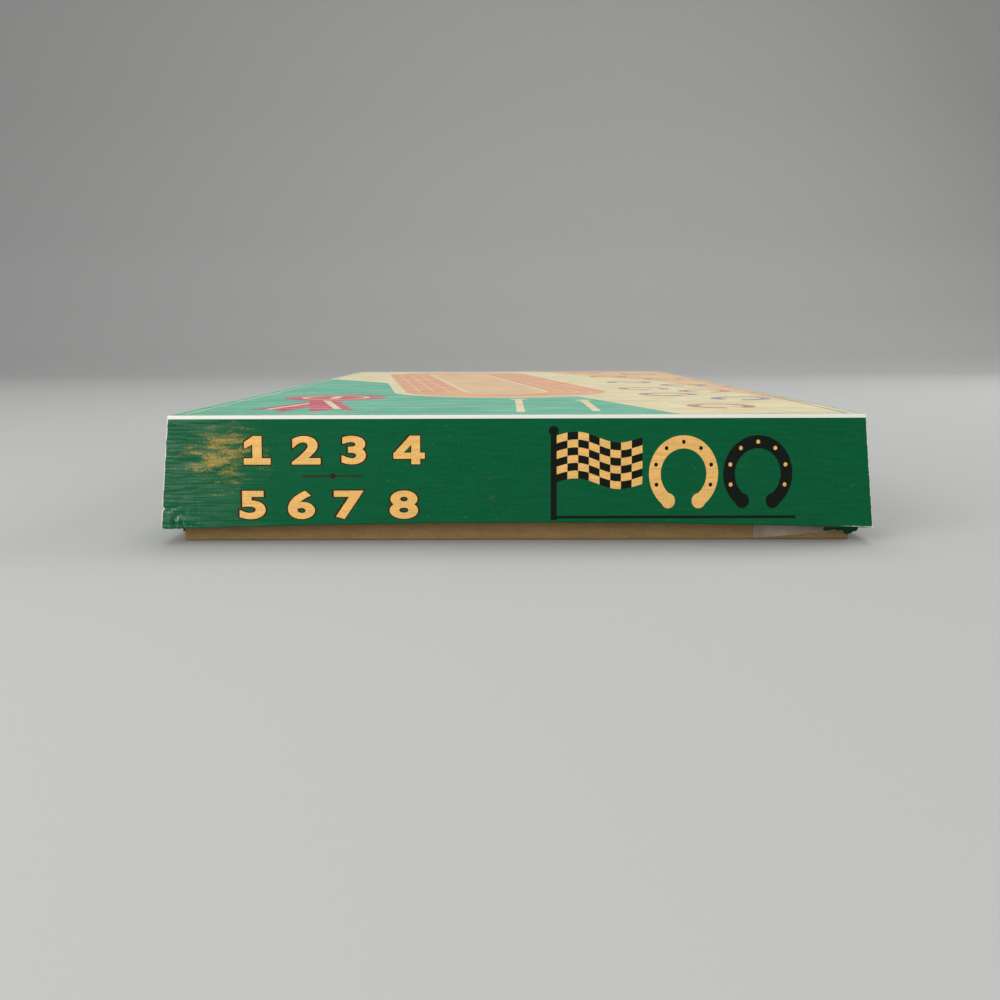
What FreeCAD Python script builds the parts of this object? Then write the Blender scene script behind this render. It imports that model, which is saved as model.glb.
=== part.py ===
"""Boxed crank horse race game.

A telescoping cardboard box holds a race track on rubber buffers. A hand crank
drives a step-up gear train to an unbalanced flyweight, which shakes the track,
so that eight horses jog along their lanes from a start gate to a stop bar.

Row frame: X across the box, Y along it with the crank at the -Y end, Z up.
The origin is the middle of the tray's underside. Lengths are millimetres.
"""

import FreeCAD, Part
import math
import os

import Sketcher

Vector = FreeCAD.Vector

doc = FreeCAD.newDocument("race_game")
sheet = doc.addObject("Spreadsheet::Sheet", "sizes")

DRIVING_SIZES = {
    # Box: printed lid over a plain tray, both of chipboard.
    "box_width": 254.0,
    "box_length": 508.0,
    "box_height": 47.0,
    "skirt_depth": 41.5,
    "skirt_splay": 3.4,
    "board": 1.5,
    "wrap": 0.25,
    "wrap_turn_in": 14.0,
    "lid_clearance": 1.0,
    "flap_thickness": 0.4,
    "flap_reach": 36.0,
    "flap_low_edge": 0.6,
    "flap_edge_rise": 3.0,
    # Batten frame glued to the tray's floor.
    "batten_width": 14.0,
    "end_batten_width": 11.0,
    "batten_height": 10.5,
    "rest_batten_place": 60.0,
    # Track deck on its rubber buffers.
    "deck_thickness": 2.0,
    "deck_gap": 3.5,
    "lane_margin": 15.0,
    "rail_width": 2.0,
    "rail_height": 2.5,
    "buffer_height": 2.0,
    "buffer_radius": 5.0,
    "buffer_neck": 3.2,
    "buffer_flange": 1.3,
    "buffer_lip_step": 0.65,
    "float_clearance": 0.9,
    "deck_screw_radius": 1.5,
    "screw_head_radius": 3.4,
    "screw_head_height": 1.6,
    "screw_bite": 8.0,
    "screw_inset": 12.0,
    "buffer_edge": 0.3,
    # Crank on the deck.
    "crank_setback": 43.0,
    "crank_throw": 34.0,
    "shaft_radius": 2.5,
    "spindle_radius": 2.0,
    "running_clearance": 0.06,
    "bush_wall": 2.0,
    "bush_flange_radius": 7.5,
    "bush_flange": 1.2,
    "small_flange": 0.6,
    "small_flange_reach": 1.5,
    "collar_height": 1.8,
    "collar_radius": 4.0,
    "arm_thickness": 2.0,
    "arm_width": 10.0,
    "thread_step": 0.5,
    "nut_radius": 4.2,
    "nut_height": 4.5,
    "knob_radius": 6.5,
    "knob_height": 16.5,
    "knob_pin_radius": 1.75,
    "rivet_head_radius": 2.9,
    "rivet_head_height": 1.2,
    "rivet_recess_gap": 0.24,
    "peen_height": 0.72,
    "knob_float": 0.6,
    # Gear train under the deck.
    "gear_module": 1.0,
    "gear_thickness": 2.2,
    "gear_deck_gap": 1.8,
    "crank_web_hole": 6.5,
    "idler_web_hole": 5.0,
    "backlash": 0.14,
    "journal_radius": 1.5,
    "hub_radius": 5.0,
    "end_float": 0.2,
    "plate_clearance": 0.8,
    "plate_thickness": 1.0,
    "plate_margin": 5.0,
    "pillar_radius": 2.5,
    "pillar_fly_gap": 1.5,
    "pillar_front_reach": 20.0,
    "pillar_screw_radius": 1.25,
    "pillar_screw_bite": 7.0,
    "pillar_head_radius": 2.6,
    "pillar_head_height": 1.3,
    "fly_radius": 19.0,
    "fly_thickness": 2.8,
    "fly_hub_wall": 2.5,
    "fly_bearing_angle": 205.0,
    # Start gate under the deck.
    "gate_gap": 9.0,
    "gate_drop": 4.2,
    "gate_rod_radius": 1.5,
    "gate_tube_wall": 1.0,
    "finger_reach": 11.5,
    "finger_width": 2.0,
    "finger_depth": 2.4,
    "slot_clearance": 0.8,
    "lever_slot_gap": 0.4,
    "lever_reach": 21.0,
    "lever_thickness": 1.5,
    "lever_depth": 3.6,
    "lever_inset": 1.6,
    "lever_eye_wall": 0.6,
    "lever_ball_radius": 3.0,
    "hanger_thickness": 1.2,
    "hanger_width": 9.0,
    "hanger_drop": 3.75,
    "hanger_lever_gap": 1.0,
    "rod_overhang": 1.0,
    # Horses on their lanes.
    "start_gap": 7.5,
    "horse_base_length": 34.0,
    "horse_base_thickness": 1.6,
    "base_corner": 3.0,
    "lane_clearance": 1.0,
    "brush_height": 1.4,
    "brush_length": 4.0,
    "brush_inset": 4.0,
    "brush_width": 16.0,
    "brush_float": 0.05,
    "figure_scale": 1.0,
    # Finish end.
    "finish_setback": 41.0,
    "stop_bar_setback": 17.0,
    "stop_bar_width": 6.0,
    "stop_bar_height": 6.0,
    "post_offset": 5.5,
    "post_radius": 2.0,
    "post_foot_radius": 3.6,
    "post_foot_height": 1.5,
    "post_height": 15.0,
    "post_peg_radius": 1.5,
    "disc_radius": 5.5,
    "disc_thickness": 1.6,
    "disc_lift": 3.3,
    # Wells for the loose pieces, each side of the crank.
    "well_gap": 11.0,
    "well_side_gap": 2.5,
    "well_end_gap": 4.5,
    "well_start_gap": 5.0,
    "well_wall": 1.2,
    "well_floor_gap": 1.5,
    "well_lip": 3.0,
    "well_lip_thickness": 1.0,
    "well_fit": 0.1,
    "counter_side_gap": 1.7,
    "counter_thickness": 3.0,
    "counter_bevel": 0.36,
    "counter_gap": 0.15,
    "card_side_gap": 4.0,
    "card_end_gap": 4.3,
    "card_thickness": 0.6,
    "leaflet_thickness": 0.5,
    "paper_gap": 0.02,
}

LANES = 8
COUNTERS_IN_A_ROW = 18
CARDS = 14
LEAFLET_PANELS = 3
CRANK_TEETH = 60
PINION_TEETH = 12
IDLER_TEETH = 48
PRESSURE_ANGLE = math.radians(25.0)
TOOTH_ADDENDUM = 0.8
TOOTH_DEDENDUM = 1.0
ROOT_LAND = 0.05
CRANK_WEB_HOLES = 5
IDLER_WEB_HOLES = 4
LEVER_RISE = 45.0

# Turned outlines, as (share of the radius, share of the height) from the foot up.
NUT_OUTLINE = [(1.0, 0.0), (1.0, 0.55), (0.8, 0.8), (0.4, 1.0)]
NUT_THREAD_SHARE = 0.7
KNOB_OUTLINE = [
    (0.72, 0.0),
    (0.78, 0.06),
    (0.72, 0.13),
    (0.62, 0.24),
    (0.68, 0.36),
    (0.84, 0.5),
    (0.97, 0.64),
    (1.0, 0.76),
    (0.93, 0.88),
    (0.78, 0.96),
    (0.6, 1.0),
]
# A rounded screw or rivet head: its flat top as a share of its radius, and the height
# of its upright rim as a share of its height.
HEAD_FLAT = 0.6
HEAD_RIM = 0.5

for row, (alias, value) in enumerate(DRIVING_SIZES.items(), start=1):
    sheet.set(f"A{row}", alias)
    sheet.set(f"B{row}", str(value))
    sheet.setAlias(f"B{row}", alias)
doc.recompute()

# Levels and places that follow from the driving sizes, as expressions on the sheet.
RIM = "(sizes.box_height - sizes.wrap - sizes.board)"
SKIRT_FOOT = "(sizes.box_height - sizes.skirt_depth)"
TRAY_WIDTH = (
    "(sizes.box_width - 2 * (sizes.wrap + sizes.board + sizes.lid_clearance"
    " + sizes.flap_thickness))"
)
TRAY_LENGTH = (
    "(sizes.box_length - 2 * (sizes.wrap + sizes.board + sizes.lid_clearance"
    " + sizes.flap_thickness))"
)
INNER_WIDTH = f"({TRAY_WIDTH} - 2 * sizes.board)"
INNER_LENGTH = f"({TRAY_LENGTH} - 2 * sizes.board)"
BATTEN_TOP = "(sizes.board + sizes.batten_height)"
DECK_UNDER = f"({BATTEN_TOP} + sizes.buffer_height)"
DECK_TOP = f"({DECK_UNDER} + sizes.deck_thickness)"
DECK_WIDTH = f"({INNER_WIDTH} - 2 * sizes.deck_gap)"
DECK_LENGTH = f"({INNER_LENGTH} - 2 * sizes.deck_gap)"
TRACK_WIDTH = f"({DECK_WIDTH} - 2 * sizes.lane_margin)"
LANE_PITCH = f"({TRACK_WIDTH} / {LANES})"
SCREW_LINE = (
    f"({INNER_WIDTH} / 2 - sizes.batten_width + sizes.buffer_radius + sizes.buffer_edge)"
)
SCREW_REACH = f"({DECK_LENGTH} / 2 - sizes.screw_inset)"

CRANK_Y = f"(-{DECK_LENGTH} / 2 + sizes.crank_setback)"
BUSH_RADIUS = "(sizes.shaft_radius + sizes.running_clearance + sizes.bush_wall)"
SMALL_BUSH_RADIUS = "(sizes.journal_radius + sizes.running_clearance + sizes.bush_wall / 2)"
ARM_UNDER = f"({DECK_TOP} + sizes.bush_flange + sizes.collar_height)"
ARM_TOP = f"({ARM_UNDER} + sizes.arm_thickness)"
THREAD_RADIUS = "(sizes.shaft_radius - sizes.thread_step)"
THREAD_TOP = f"({ARM_TOP} + {NUT_THREAD_SHARE} * sizes.nut_height)"
KNOB_FOOT = f"({ARM_TOP} + sizes.knob_float)"
KNOB_TOP = f"({KNOB_FOOT} + sizes.knob_height)"

PLATE_UNDER = "(sizes.board + sizes.plate_clearance)"
PLATE_TOP = f"({PLATE_UNDER} + sizes.plate_thickness)"
CRANK_GEAR_TOP = f"({DECK_UNDER} - sizes.gear_deck_gap)"
CRANK_GEAR_UNDER = f"({CRANK_GEAR_TOP} - sizes.gear_thickness)"
IDLER_GEAR_TOP = f"({CRANK_GEAR_UNDER} - 2 * sizes.end_float)"
IDLER_GEAR_UNDER = f"({IDLER_GEAR_TOP} - sizes.gear_thickness)"
FLY_TOP = f"({IDLER_GEAR_UNDER} - 2 * sizes.end_float)"
FLY_UNDER = f"({FLY_TOP} - sizes.fly_thickness)"
CRANK_GEAR_RADIUS = f"({CRANK_TEETH} * sizes.gear_module / 2)"
IDLER_REACH = f"({CRANK_TEETH + PINION_TEETH} * sizes.gear_module / 2)"
FLY_REACH = f"({IDLER_TEETH + PINION_TEETH} * sizes.gear_module / 2)"
IDLER_Y = f"({CRANK_Y} + {IDLER_REACH})"
FLY_X = f"({FLY_REACH} * cos(sizes.fly_bearing_angle * 1 deg))"
FLY_Y = f"({IDLER_Y} + {FLY_REACH} * sin(sizes.fly_bearing_angle * 1 deg))"
PILLAR_X = f"({CRANK_GEAR_RADIUS} + 2 * sizes.pillar_radius + sizes.gear_module)"
PILLAR_FRONT = f"({CRANK_Y} - sizes.pillar_front_reach)"
PILLAR_BACK = f"({FLY_Y} + sizes.fly_radius + sizes.pillar_fly_gap)"

HORSE_REAR = f"({CRANK_Y} + sizes.crank_throw + sizes.knob_radius + sizes.start_gap)"
HORSE_FRONT = f"({HORSE_REAR} + sizes.horse_base_length)"
BASE_UNDER = f"({DECK_TOP} + sizes.brush_float + sizes.brush_height)"
BASE_TOP = f"({BASE_UNDER} + sizes.horse_base_thickness)"
BASE_WIDTH = f"({LANE_PITCH} - sizes.rail_width - 2 * sizes.lane_clearance)"
STOP_BAR_FACE = (
    f"({DECK_LENGTH} / 2 - sizes.stop_bar_setback - sizes.stop_bar_width)"
)
FINISH_Y = f"({DECK_LENGTH} / 2 - sizes.finish_setback)"
POST_X = f"({TRACK_WIDTH} / 2 + sizes.post_offset)"

GATE_Y = f"({HORSE_FRONT} + sizes.gate_gap)"
GATE_Z = f"({DECK_UNDER} - sizes.gate_drop)"
GATE_TUBE = "(sizes.gate_rod_radius + sizes.gate_tube_wall)"
FINGER_SWEEP = "(sizes.finger_reach + sizes.slot_clearance)"
LEVER_X = f"({INNER_WIDTH} / 2 - sizes.batten_width - sizes.lever_inset - sizes.lever_thickness / 2)"
HANGER_X = (
    f"({LEVER_X} - sizes.lever_thickness / 2 - sizes.hanger_thickness"
    " - sizes.hanger_lever_gap)"
)

WELL_INNER_X = "(sizes.crank_throw + sizes.knob_radius + sizes.well_gap)"
WELL_OUTER_X = f"({INNER_WIDTH} / 2 - sizes.batten_width - sizes.well_side_gap)"
WELL_FRONT = (
    f"(-{INNER_LENGTH} / 2 + sizes.end_batten_width + sizes.well_end_gap)"
)
WELL_BACK = f"({HORSE_REAR} - sizes.well_start_gap)"
WELL_UNDER = "(sizes.board + sizes.well_floor_gap)"
WELL_FLOOR = f"({WELL_UNDER} + sizes.well_wall)"
WELL_X = f"(({WELL_INNER_X} + {WELL_OUTER_X}) / 2)"
WELL_CLEAR_WIDTH = f"({WELL_OUTER_X} - {WELL_INNER_X} - 2 * sizes.well_wall)"
WELL_CLEAR_LENGTH = f"({WELL_BACK} - {WELL_FRONT} - 2 * sizes.well_wall)"
ROW_WIDTH = f"(({WELL_CLEAR_WIDTH} - sizes.well_wall) / 2)"
COUNTER_RADIUS = f"({ROW_WIDTH} / 2 - sizes.counter_side_gap)"

sub_parts = []


def number(expression):
    """The value of an expression on the sheet, as a plain number."""
    found = sheet.evalExpression(str(expression))
    return float(getattr(found, "Value", found))


def keep(shape_object, label):
    """Names a finished sub-part and lists it for the STEP files."""
    shape_object.Label = label
    sub_parts.append(shape_object)
    return shape_object


def place(shape_object, x="0", y="0", z="0"):
    """Binds where an object stands."""
    for axis, expression in zip("xyz", (x, y, z)):
        shape_object.setExpression(f"Placement.Base.{axis}", str(expression))
    return shape_object


def block(name, x, y, z):
    """A box from three (low, high) pairs of expressions."""
    box = doc.addObject("Part::Box", name)
    for side, (low, high) in zip(("Length", "Width", "Height"), (x, y, z)):
        box.setExpression(side, f"({high}) - ({low})")
    return place(box, x[0], y[0], z[0])


def cylinder(name, x, y, z, radius):
    """An upright cylinder between the two levels in z."""
    made = doc.addObject("Part::Cylinder", name)
    made.setExpression("Radius", str(radius))
    made.setExpression("Height", f"({z[1]}) - ({z[0]})")
    return place(made, x, y, z[0])


def cut(name, base, tool):
    made = doc.addObject("Part::Cut", name)
    made.Base = base
    made.Tool = tool
    return made


def fuse(name, pieces):
    made = doc.addObject("Part::MultiFuse", name)
    made.Shapes = pieces
    return made


def group(name, pieces):
    """Like pieces that stay separate solids under one name."""
    made = doc.addObject("Part::Compound", name)
    made.Links = pieces
    return made


def solid(name, shape):
    """A sub-part whose outline no primitive gives."""
    made = doc.addObject("Part::Feature", name)
    made.Shape = shape
    return made


def new_body(name):
    return doc.addObject("PartDesign::Body", name)


def sketch_on(body, name, plane_role, offset="0"):
    """A sketch on one of the body's own planes, moved along that plane's normal."""
    sketch = body.newObject("Sketcher::SketchObject", name)
    plane = next(f for f in body.Origin.OriginFeatures if f.Role == plane_role)
    sketch.AttachmentSupport = [(plane, "")]
    sketch.MapMode = "FlatFace"
    sketch.setExpression("AttachmentOffset.Base.z", str(offset))
    return sketch


def draw_outline(sketch, tag, corners):
    """A closed outline of straight sides, each corner held by two expressions."""
    points = [Vector(number(u), number(v), 0) for u, v in corners]
    first = sketch.GeometryCount
    count = len(points)
    for i in range(count):
        sketch.addGeometry(Part.LineSegment(points[i], points[(i + 1) % count]), False)
    for i in range(count):
        following = first + (i + 1) % count
        sketch.addConstraint(Sketcher.Constraint("Coincident", first + i, 2, following, 1))
    for i, (point, (u, v)) in enumerate(zip(points, corners)):
        for kind, value, expression in (("DistanceX", point.x, u), ("DistanceY", point.y, v)):
            held = sketch.addConstraint(
                Sketcher.Constraint(kind, -1, 1, first + i, 1, value)
            )
            title = f"{tag}_{kind[-1].lower()}{i}"
            sketch.renameConstraint(held, title)
            sketch.setExpression(f"Constraints.{title}", str(expression))


def draw_rectangle(sketch, tag, x, y):
    """A rectangle from two (low, high) pairs of expressions."""
    draw_outline(sketch, tag, [(x[0], y[0]), (x[1], y[0]), (x[1], y[1]), (x[0], y[1])])


def draw_circle(sketch, tag, x, y, radius):
    centre = Vector(number(x), number(y), 0)
    ring = sketch.addGeometry(Part.Circle(centre, Vector(0, 0, 1), number(radius)), False)
    for kind, value, expression in (
        ("DistanceX", centre.x, x),
        ("DistanceY", centre.y, y),
    ):
        held = sketch.addConstraint(Sketcher.Constraint(kind, -1, 1, ring, 3, value))
        title = f"{tag}_{kind[-1].lower()}"
        sketch.renameConstraint(held, title)
        sketch.setExpression(f"Constraints.{title}", str(expression))
    held = sketch.addConstraint(Sketcher.Constraint("Radius", ring, number(radius)))
    sketch.renameConstraint(held, f"{tag}_radius")
    sketch.setExpression(f"Constraints.{tag}_radius", str(radius))


def pad(body, sketch, name, height):
    feature = body.newObject("PartDesign::Pad", name)
    feature.Profile = sketch
    feature.setExpression("Length", str(height))
    doc.recompute()
    return feature


def pocket(body, sketch, name, depth):
    """Cuts downwards from the sketch, and makes sure that it took material."""
    before = body.Shape.Volume
    feature = body.newObject("PartDesign::Pocket", name)
    feature.Profile = sketch
    feature.setExpression("Length", str(depth))
    doc.recompute()
    if body.Shape.Volume >= before:
        raise RuntimeError(f"{name} cut nothing")
    return feature


def turned(name, profile, x="0", y="0"):
    """A lathe-turned piece on an upright axis, from (radius, level) corners."""
    body = new_body(name)
    sketch = sketch_on(body, f"{name}_profile", "XZ_Plane")
    draw_outline(sketch, "turn", profile)
    feature = body.newObject("PartDesign::Revolution", f"{name}_turn")
    feature.Profile = sketch
    feature.ReferenceAxis = (sketch, ["V_Axis"])
    feature.Angle = 360.0
    doc.recompute()
    return place(body, x, y)


def copies(name, pattern, offsets):
    """The same piece again at each offset, as separate solids."""
    shapes = []
    for offset in offsets:
        shape = pattern.Shape.copy()
        shape.translate(offset)
        shapes.append(shape)
    return solid(name, Part.makeCompound(shapes))


def tapered_block(name, half_x, half_y, z):
    """A block whose half widths change evenly from the low level to the high one."""
    wedge = doc.addObject("Part::Wedge", name)
    sides = {
        "Xmin": f"-({half_x[0]})",
        "Xmax": half_x[0],
        "X2min": f"-({half_x[1]})",
        "X2max": half_x[1],
        "Ymin": z[0],
        "Ymax": z[1],
        "Zmin": f"-({half_y[0]})",
        "Zmax": half_y[0],
        "Z2min": f"-({half_y[1]})",
        "Z2max": half_y[1],
    }
    for side, expression in sides.items():
        wedge.setExpression(side, str(expression))
    wedge.Placement = FreeCAD.Placement(Vector(), FreeCAD.Rotation(Vector(1, 0, 0), 90))
    return wedge


# Lid: chipboard shell with a printed paper wrap that is turned in round the skirt's edge.
def skirt_half(overall, inset, level):
    """Half the lid's width at a level, inset from its outer face, as it splays."""
    spread = f"sizes.skirt_splay * (sizes.box_height - ({level})) / sizes.skirt_depth"
    return f"({overall} / 2 + {spread} - ({inset}))"


def lid_block(name, inset, low, high):
    return tapered_block(
        name,
        [skirt_half("sizes.box_width", inset, level) for level in (low, high)],
        [skirt_half("sizes.box_length", inset, level) for level in (low, high)],
        (low, high),
    )


def make_lid():
    board_foot = f"({SKIRT_FOOT} + sizes.wrap)"
    hem_top = f"({SKIRT_FOOT} + sizes.wrap_turn_in)"
    skin = "sizes.wrap"
    board_in = "(sizes.wrap + sizes.board)"
    hem_in = "(2 * sizes.wrap + sizes.board)"
    board_top = "(sizes.box_height - sizes.wrap)"
    board = cut(
        "lid_board_cut",
        lid_block("lid_board_outside", skin, board_foot, board_top),
        lid_block("lid_board_hollow", board_in, board_foot, RIM),
    )
    keep(board, "lid_board")
    outside = lid_block("lid_wrap_outside", "0", SKIRT_FOOT, "sizes.box_height")
    core = lid_block("lid_wrap_core", skin, board_foot, board_top)
    mouth = lid_block("lid_wrap_mouth", hem_in, SKIRT_FOOT, hem_top)
    skin_only = cut("lid_skin_open", cut("lid_skin_shell", outside, core), mouth)
    hem = cut(
        "lid_hem_ring",
        lid_block("lid_hem_outside", board_in, SKIRT_FOOT, hem_top),
        lid_block("lid_hem_inside", hem_in, SKIRT_FOOT, hem_top),
    )
    wrap = fuse("lid_wrap_fuse", [skin_only, hem])
    keep(wrap, "lid_wrap")


# Tray: one chipboard blank folded up, its corners held by glued flaps.
def make_tray():
    body = new_body("box_tray_body")
    blank = sketch_on(body, "tray_outline", "XY_Plane")
    draw_rectangle(
        blank,
        "outside",
        (f"-{TRAY_WIDTH} / 2", f"{TRAY_WIDTH} / 2"),
        (f"-{TRAY_LENGTH} / 2", f"{TRAY_LENGTH} / 2"),
    )
    pad(body, blank, "tray_block", RIM)
    hollow = sketch_on(body, "tray_hollow_outline", "XY_Plane", RIM)
    draw_rectangle(
        hollow,
        "inside",
        (f"-{INNER_WIDTH} / 2", f"{INNER_WIDTH} / 2"),
        (f"-{INNER_LENGTH} / 2", f"{INNER_LENGTH} / 2"),
    )
    pocket(body, hollow, "tray_hollow", f"{RIM} - sizes.board")
    keep(body, "box_tray")


def glue_flap(name, half_wall, half_side, turn):
    """One flap on a wall's outer face, ending at the wall's right-hand corner."""
    body = new_body(name)
    sketch = sketch_on(body, f"{name}_outline", "XZ_Plane", half_side)
    corner = f"({half_wall} + sizes.flap_thickness)"
    inner = f"({corner} - sizes.flap_reach)"
    low = "sizes.flap_low_edge"
    high = "(sizes.flap_low_edge + sizes.flap_edge_rise)"
    draw_outline(
        sketch,
        "flap",
        [(inner, low), (corner, high), (corner, RIM), (inner, RIM)],
    )
    pad(body, sketch, f"{name}_sheet", "sizes.flap_thickness")
    body.Placement = FreeCAD.Placement(Vector(), FreeCAD.Rotation(Vector(0, 0, 1), turn))
    return body


def make_glue_flaps():
    width = f"{TRAY_WIDTH} / 2"
    length = f"{TRAY_LENGTH} / 2"
    flaps = [
        glue_flap("flap_front", width, length, 0),
        glue_flap("flap_right", length, width, 90),
        glue_flap("flap_back", width, length, 180),
        glue_flap("flap_left", length, width, 270),
    ]
    keep(group("tray_glue_flaps_group", flaps), "tray_glue_flaps")


# Batten frame: softwood strips glued to the floor, with pilot holes for the deck screws.
def screw_places():
    return [
        (f"{side} * {SCREW_LINE}", f"{row} * {SCREW_REACH}")
        for side in (-1, 1)
        for row in (-1, 0, 1)
    ]


def make_battens():
    half_length = f"{INNER_LENGTH} / 2"
    levels = ("sizes.board", BATTEN_TOP)
    for side, label in ((-1, "side_batten_left"), (1, "side_batten_right")):
        outer = f"{INNER_WIDTH} / 2"
        inner = f"({outer} - sizes.batten_width)"
        x = (f"-{outer}", f"-{inner}") if side < 0 else (inner, outer)
        body = new_body(f"{label}_body")
        outline = sketch_on(body, f"{label}_outline", "XY_Plane", "sizes.board")
        draw_rectangle(outline, "strip", x, (f"-{half_length}", half_length))
        pad(body, outline, f"{label}_strip", "sizes.batten_height")
        pilots = sketch_on(body, f"{label}_pilots", "XY_Plane", BATTEN_TOP)
        for index, row in enumerate((-1, 0, 1)):
            draw_circle(
                pilots,
                f"pilot{index}",
                f"{side} * {SCREW_LINE}",
                f"{row} * {SCREW_REACH}",
                "sizes.deck_screw_radius",
            )
        pocket(body, pilots, f"{label}_holes", "sizes.screw_bite")
        keep(body, label)
    inner_x = f"({INNER_WIDTH} / 2 - sizes.batten_width)"
    across = (f"-{inner_x}", inner_x)
    end_face = f"({half_length} - sizes.end_batten_width)"
    strips = []
    for tag, y in (
        ("front", (f"-{half_length}", f"-{end_face}")),
        ("back", (end_face, half_length)),
        ("rest", ("sizes.rest_batten_place", "sizes.rest_batten_place + sizes.end_batten_width")),
    ):
        strips.append(block(f"cross_batten_{tag}", across, y, levels))
    keep(group("cross_battens_group", strips), "cross_battens")


# Rubber buffers carry the deck, and shouldered screws keep it down with room to shake.
def make_deck_mounts():
    bore = "(sizes.deck_screw_radius + sizes.float_clearance)"
    lip = "(sizes.buffer_radius - sizes.buffer_lip_step)"
    flange_top = f"({DECK_TOP} + sizes.buffer_flange)"
    buffer = turned(
        "buffer_pattern",
        [
            (bore, BATTEN_TOP),
            ("sizes.buffer_radius", BATTEN_TOP),
            ("sizes.buffer_radius", DECK_UNDER),
            ("sizes.buffer_neck", DECK_UNDER),
            ("sizes.buffer_neck", DECK_TOP),
            (lip, DECK_TOP),
            (lip, flange_top),
            (bore, flange_top),
        ],
    )
    head_under = f"({flange_top} + sizes.end_float)"
    head_rim = f"({head_under} + {HEAD_RIM} * sizes.screw_head_height)"
    head_top = f"({head_under} + sizes.screw_head_height)"
    foot = f"({BATTEN_TOP} - sizes.screw_bite)"
    screw = turned(
        "deck_screw_pattern",
        [
            ("0", foot),
            ("sizes.deck_screw_radius", foot),
            ("sizes.deck_screw_radius", head_under),
            ("sizes.screw_head_radius", head_under),
            ("sizes.screw_head_radius", head_rim),
            (f"({HEAD_FLAT} * sizes.screw_head_radius)", head_top),
            ("0", head_top),
        ],
    )
    places = [Vector(number(x), number(y), 0) for x, y in screw_places()]
    keep(copies("rubber_buffers_group", buffer, places), "rubber_buffers")
    keep(copies("deck_screws_group", screw, places), "deck_screws")


# Track deck: one hardboard sheet with its holes, slots and openings.
def lane_x(lane):
    """The middle of a lane, counted from 1 at the -X side."""
    return f"({lane} - {(LANES + 1) / 2}) * {LANE_PITCH}"


def pillar_places():
    return [
        (f"{side} * {PILLAR_X}", end) for side in (-1, 1) for end in (PILLAR_FRONT, PILLAR_BACK)
    ]


def make_track_deck():
    body = new_body("track_deck_body")
    outline = sketch_on(body, "deck_outline", "XY_Plane", DECK_UNDER)
    draw_rectangle(
        outline,
        "edge",
        (f"-{DECK_WIDTH} / 2", f"{DECK_WIDTH} / 2"),
        (f"-{DECK_LENGTH} / 2", f"{DECK_LENGTH} / 2"),
    )
    pad(body, outline, "deck_sheet", "sizes.deck_thickness")

    wells = sketch_on(body, "well_openings", "XY_Plane", DECK_TOP)
    ends = (f"({WELL_FRONT} - sizes.well_fit)", f"({WELL_BACK} + sizes.well_fit)")
    inner = f"({WELL_INNER_X} - sizes.well_fit)"
    outer = f"({WELL_OUTER_X} + sizes.well_fit)"
    draw_rectangle(wells, "right", (inner, outer), ends)
    draw_rectangle(wells, "left", (f"-{outer}", f"-{inner}"), ends)
    pocket(body, wells, "well_cuts", "sizes.deck_thickness")

    slots = sketch_on(body, "gate_slots", "XY_Plane", DECK_TOP)
    half_slot = "(sizes.finger_width / 2 + sizes.slot_clearance)"
    slot_ends = (f"({GATE_Y} - sizes.finger_depth / 2 - sizes.slot_clearance)",
                 f"({GATE_Y} + {FINGER_SWEEP})")
    for lane in range(1, LANES + 1):
        middle = lane_x(lane)
        draw_rectangle(
            slots, f"lane{lane}", (f"{middle} - {half_slot}", f"{middle} + {half_slot}"), slot_ends
        )
    lever_half = "(sizes.lever_thickness / 2 + sizes.lever_slot_gap)"
    lever_run = f"({DECK_TOP} - {GATE_Z} + sizes.lever_depth)"
    draw_rectangle(
        slots,
        "lever",
        (f"{LEVER_X} - {lever_half}", f"{LEVER_X} + {lever_half}"),
        (f"{GATE_Y} - {lever_run}", f"{GATE_Y} + {lever_run}"),
    )
    pocket(body, slots, "slot_cuts", "sizes.deck_thickness")

    holes = sketch_on(body, "deck_holes", "XY_Plane", DECK_TOP)
    draw_circle(holes, "crank", "0", CRANK_Y, BUSH_RADIUS)
    draw_circle(holes, "idler", "0", IDLER_Y, SMALL_BUSH_RADIUS)
    draw_circle(holes, "fly", FLY_X, FLY_Y, SMALL_BUSH_RADIUS)
    for index, (x, y) in enumerate(pillar_places()):
        draw_circle(holes, f"pillar{index}", x, y, "sizes.pillar_screw_radius")
    for index, (x, y) in enumerate(screw_places()):
        draw_circle(holes, f"buffer{index}", x, y, "sizes.buffer_neck")
    for index, side in enumerate((-1, 1)):
        draw_circle(holes, f"post{index}", f"{side} * {POST_X}", FINISH_Y, "sizes.post_peg_radius")
    pocket(body, holes, "hole_cuts", "sizes.deck_thickness")
    keep(body, "track_deck")


def make_lane_rails():
    start = HORSE_REAR
    finish = STOP_BAR_FACE
    rails = []
    for index in range(LANES + 1):
        middle = f"({index} - {LANES / 2}) * {LANE_PITCH}"
        rails.append(
            block(
                f"rail_{index}",
                (f"{middle} - sizes.rail_width / 2", f"{middle} + sizes.rail_width / 2"),
                (start, finish),
                (DECK_TOP, f"{DECK_TOP} + sizes.rail_height"),
            )
        )
    keep(group("lane_rails_group", rails), "lane_rails")


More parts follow.
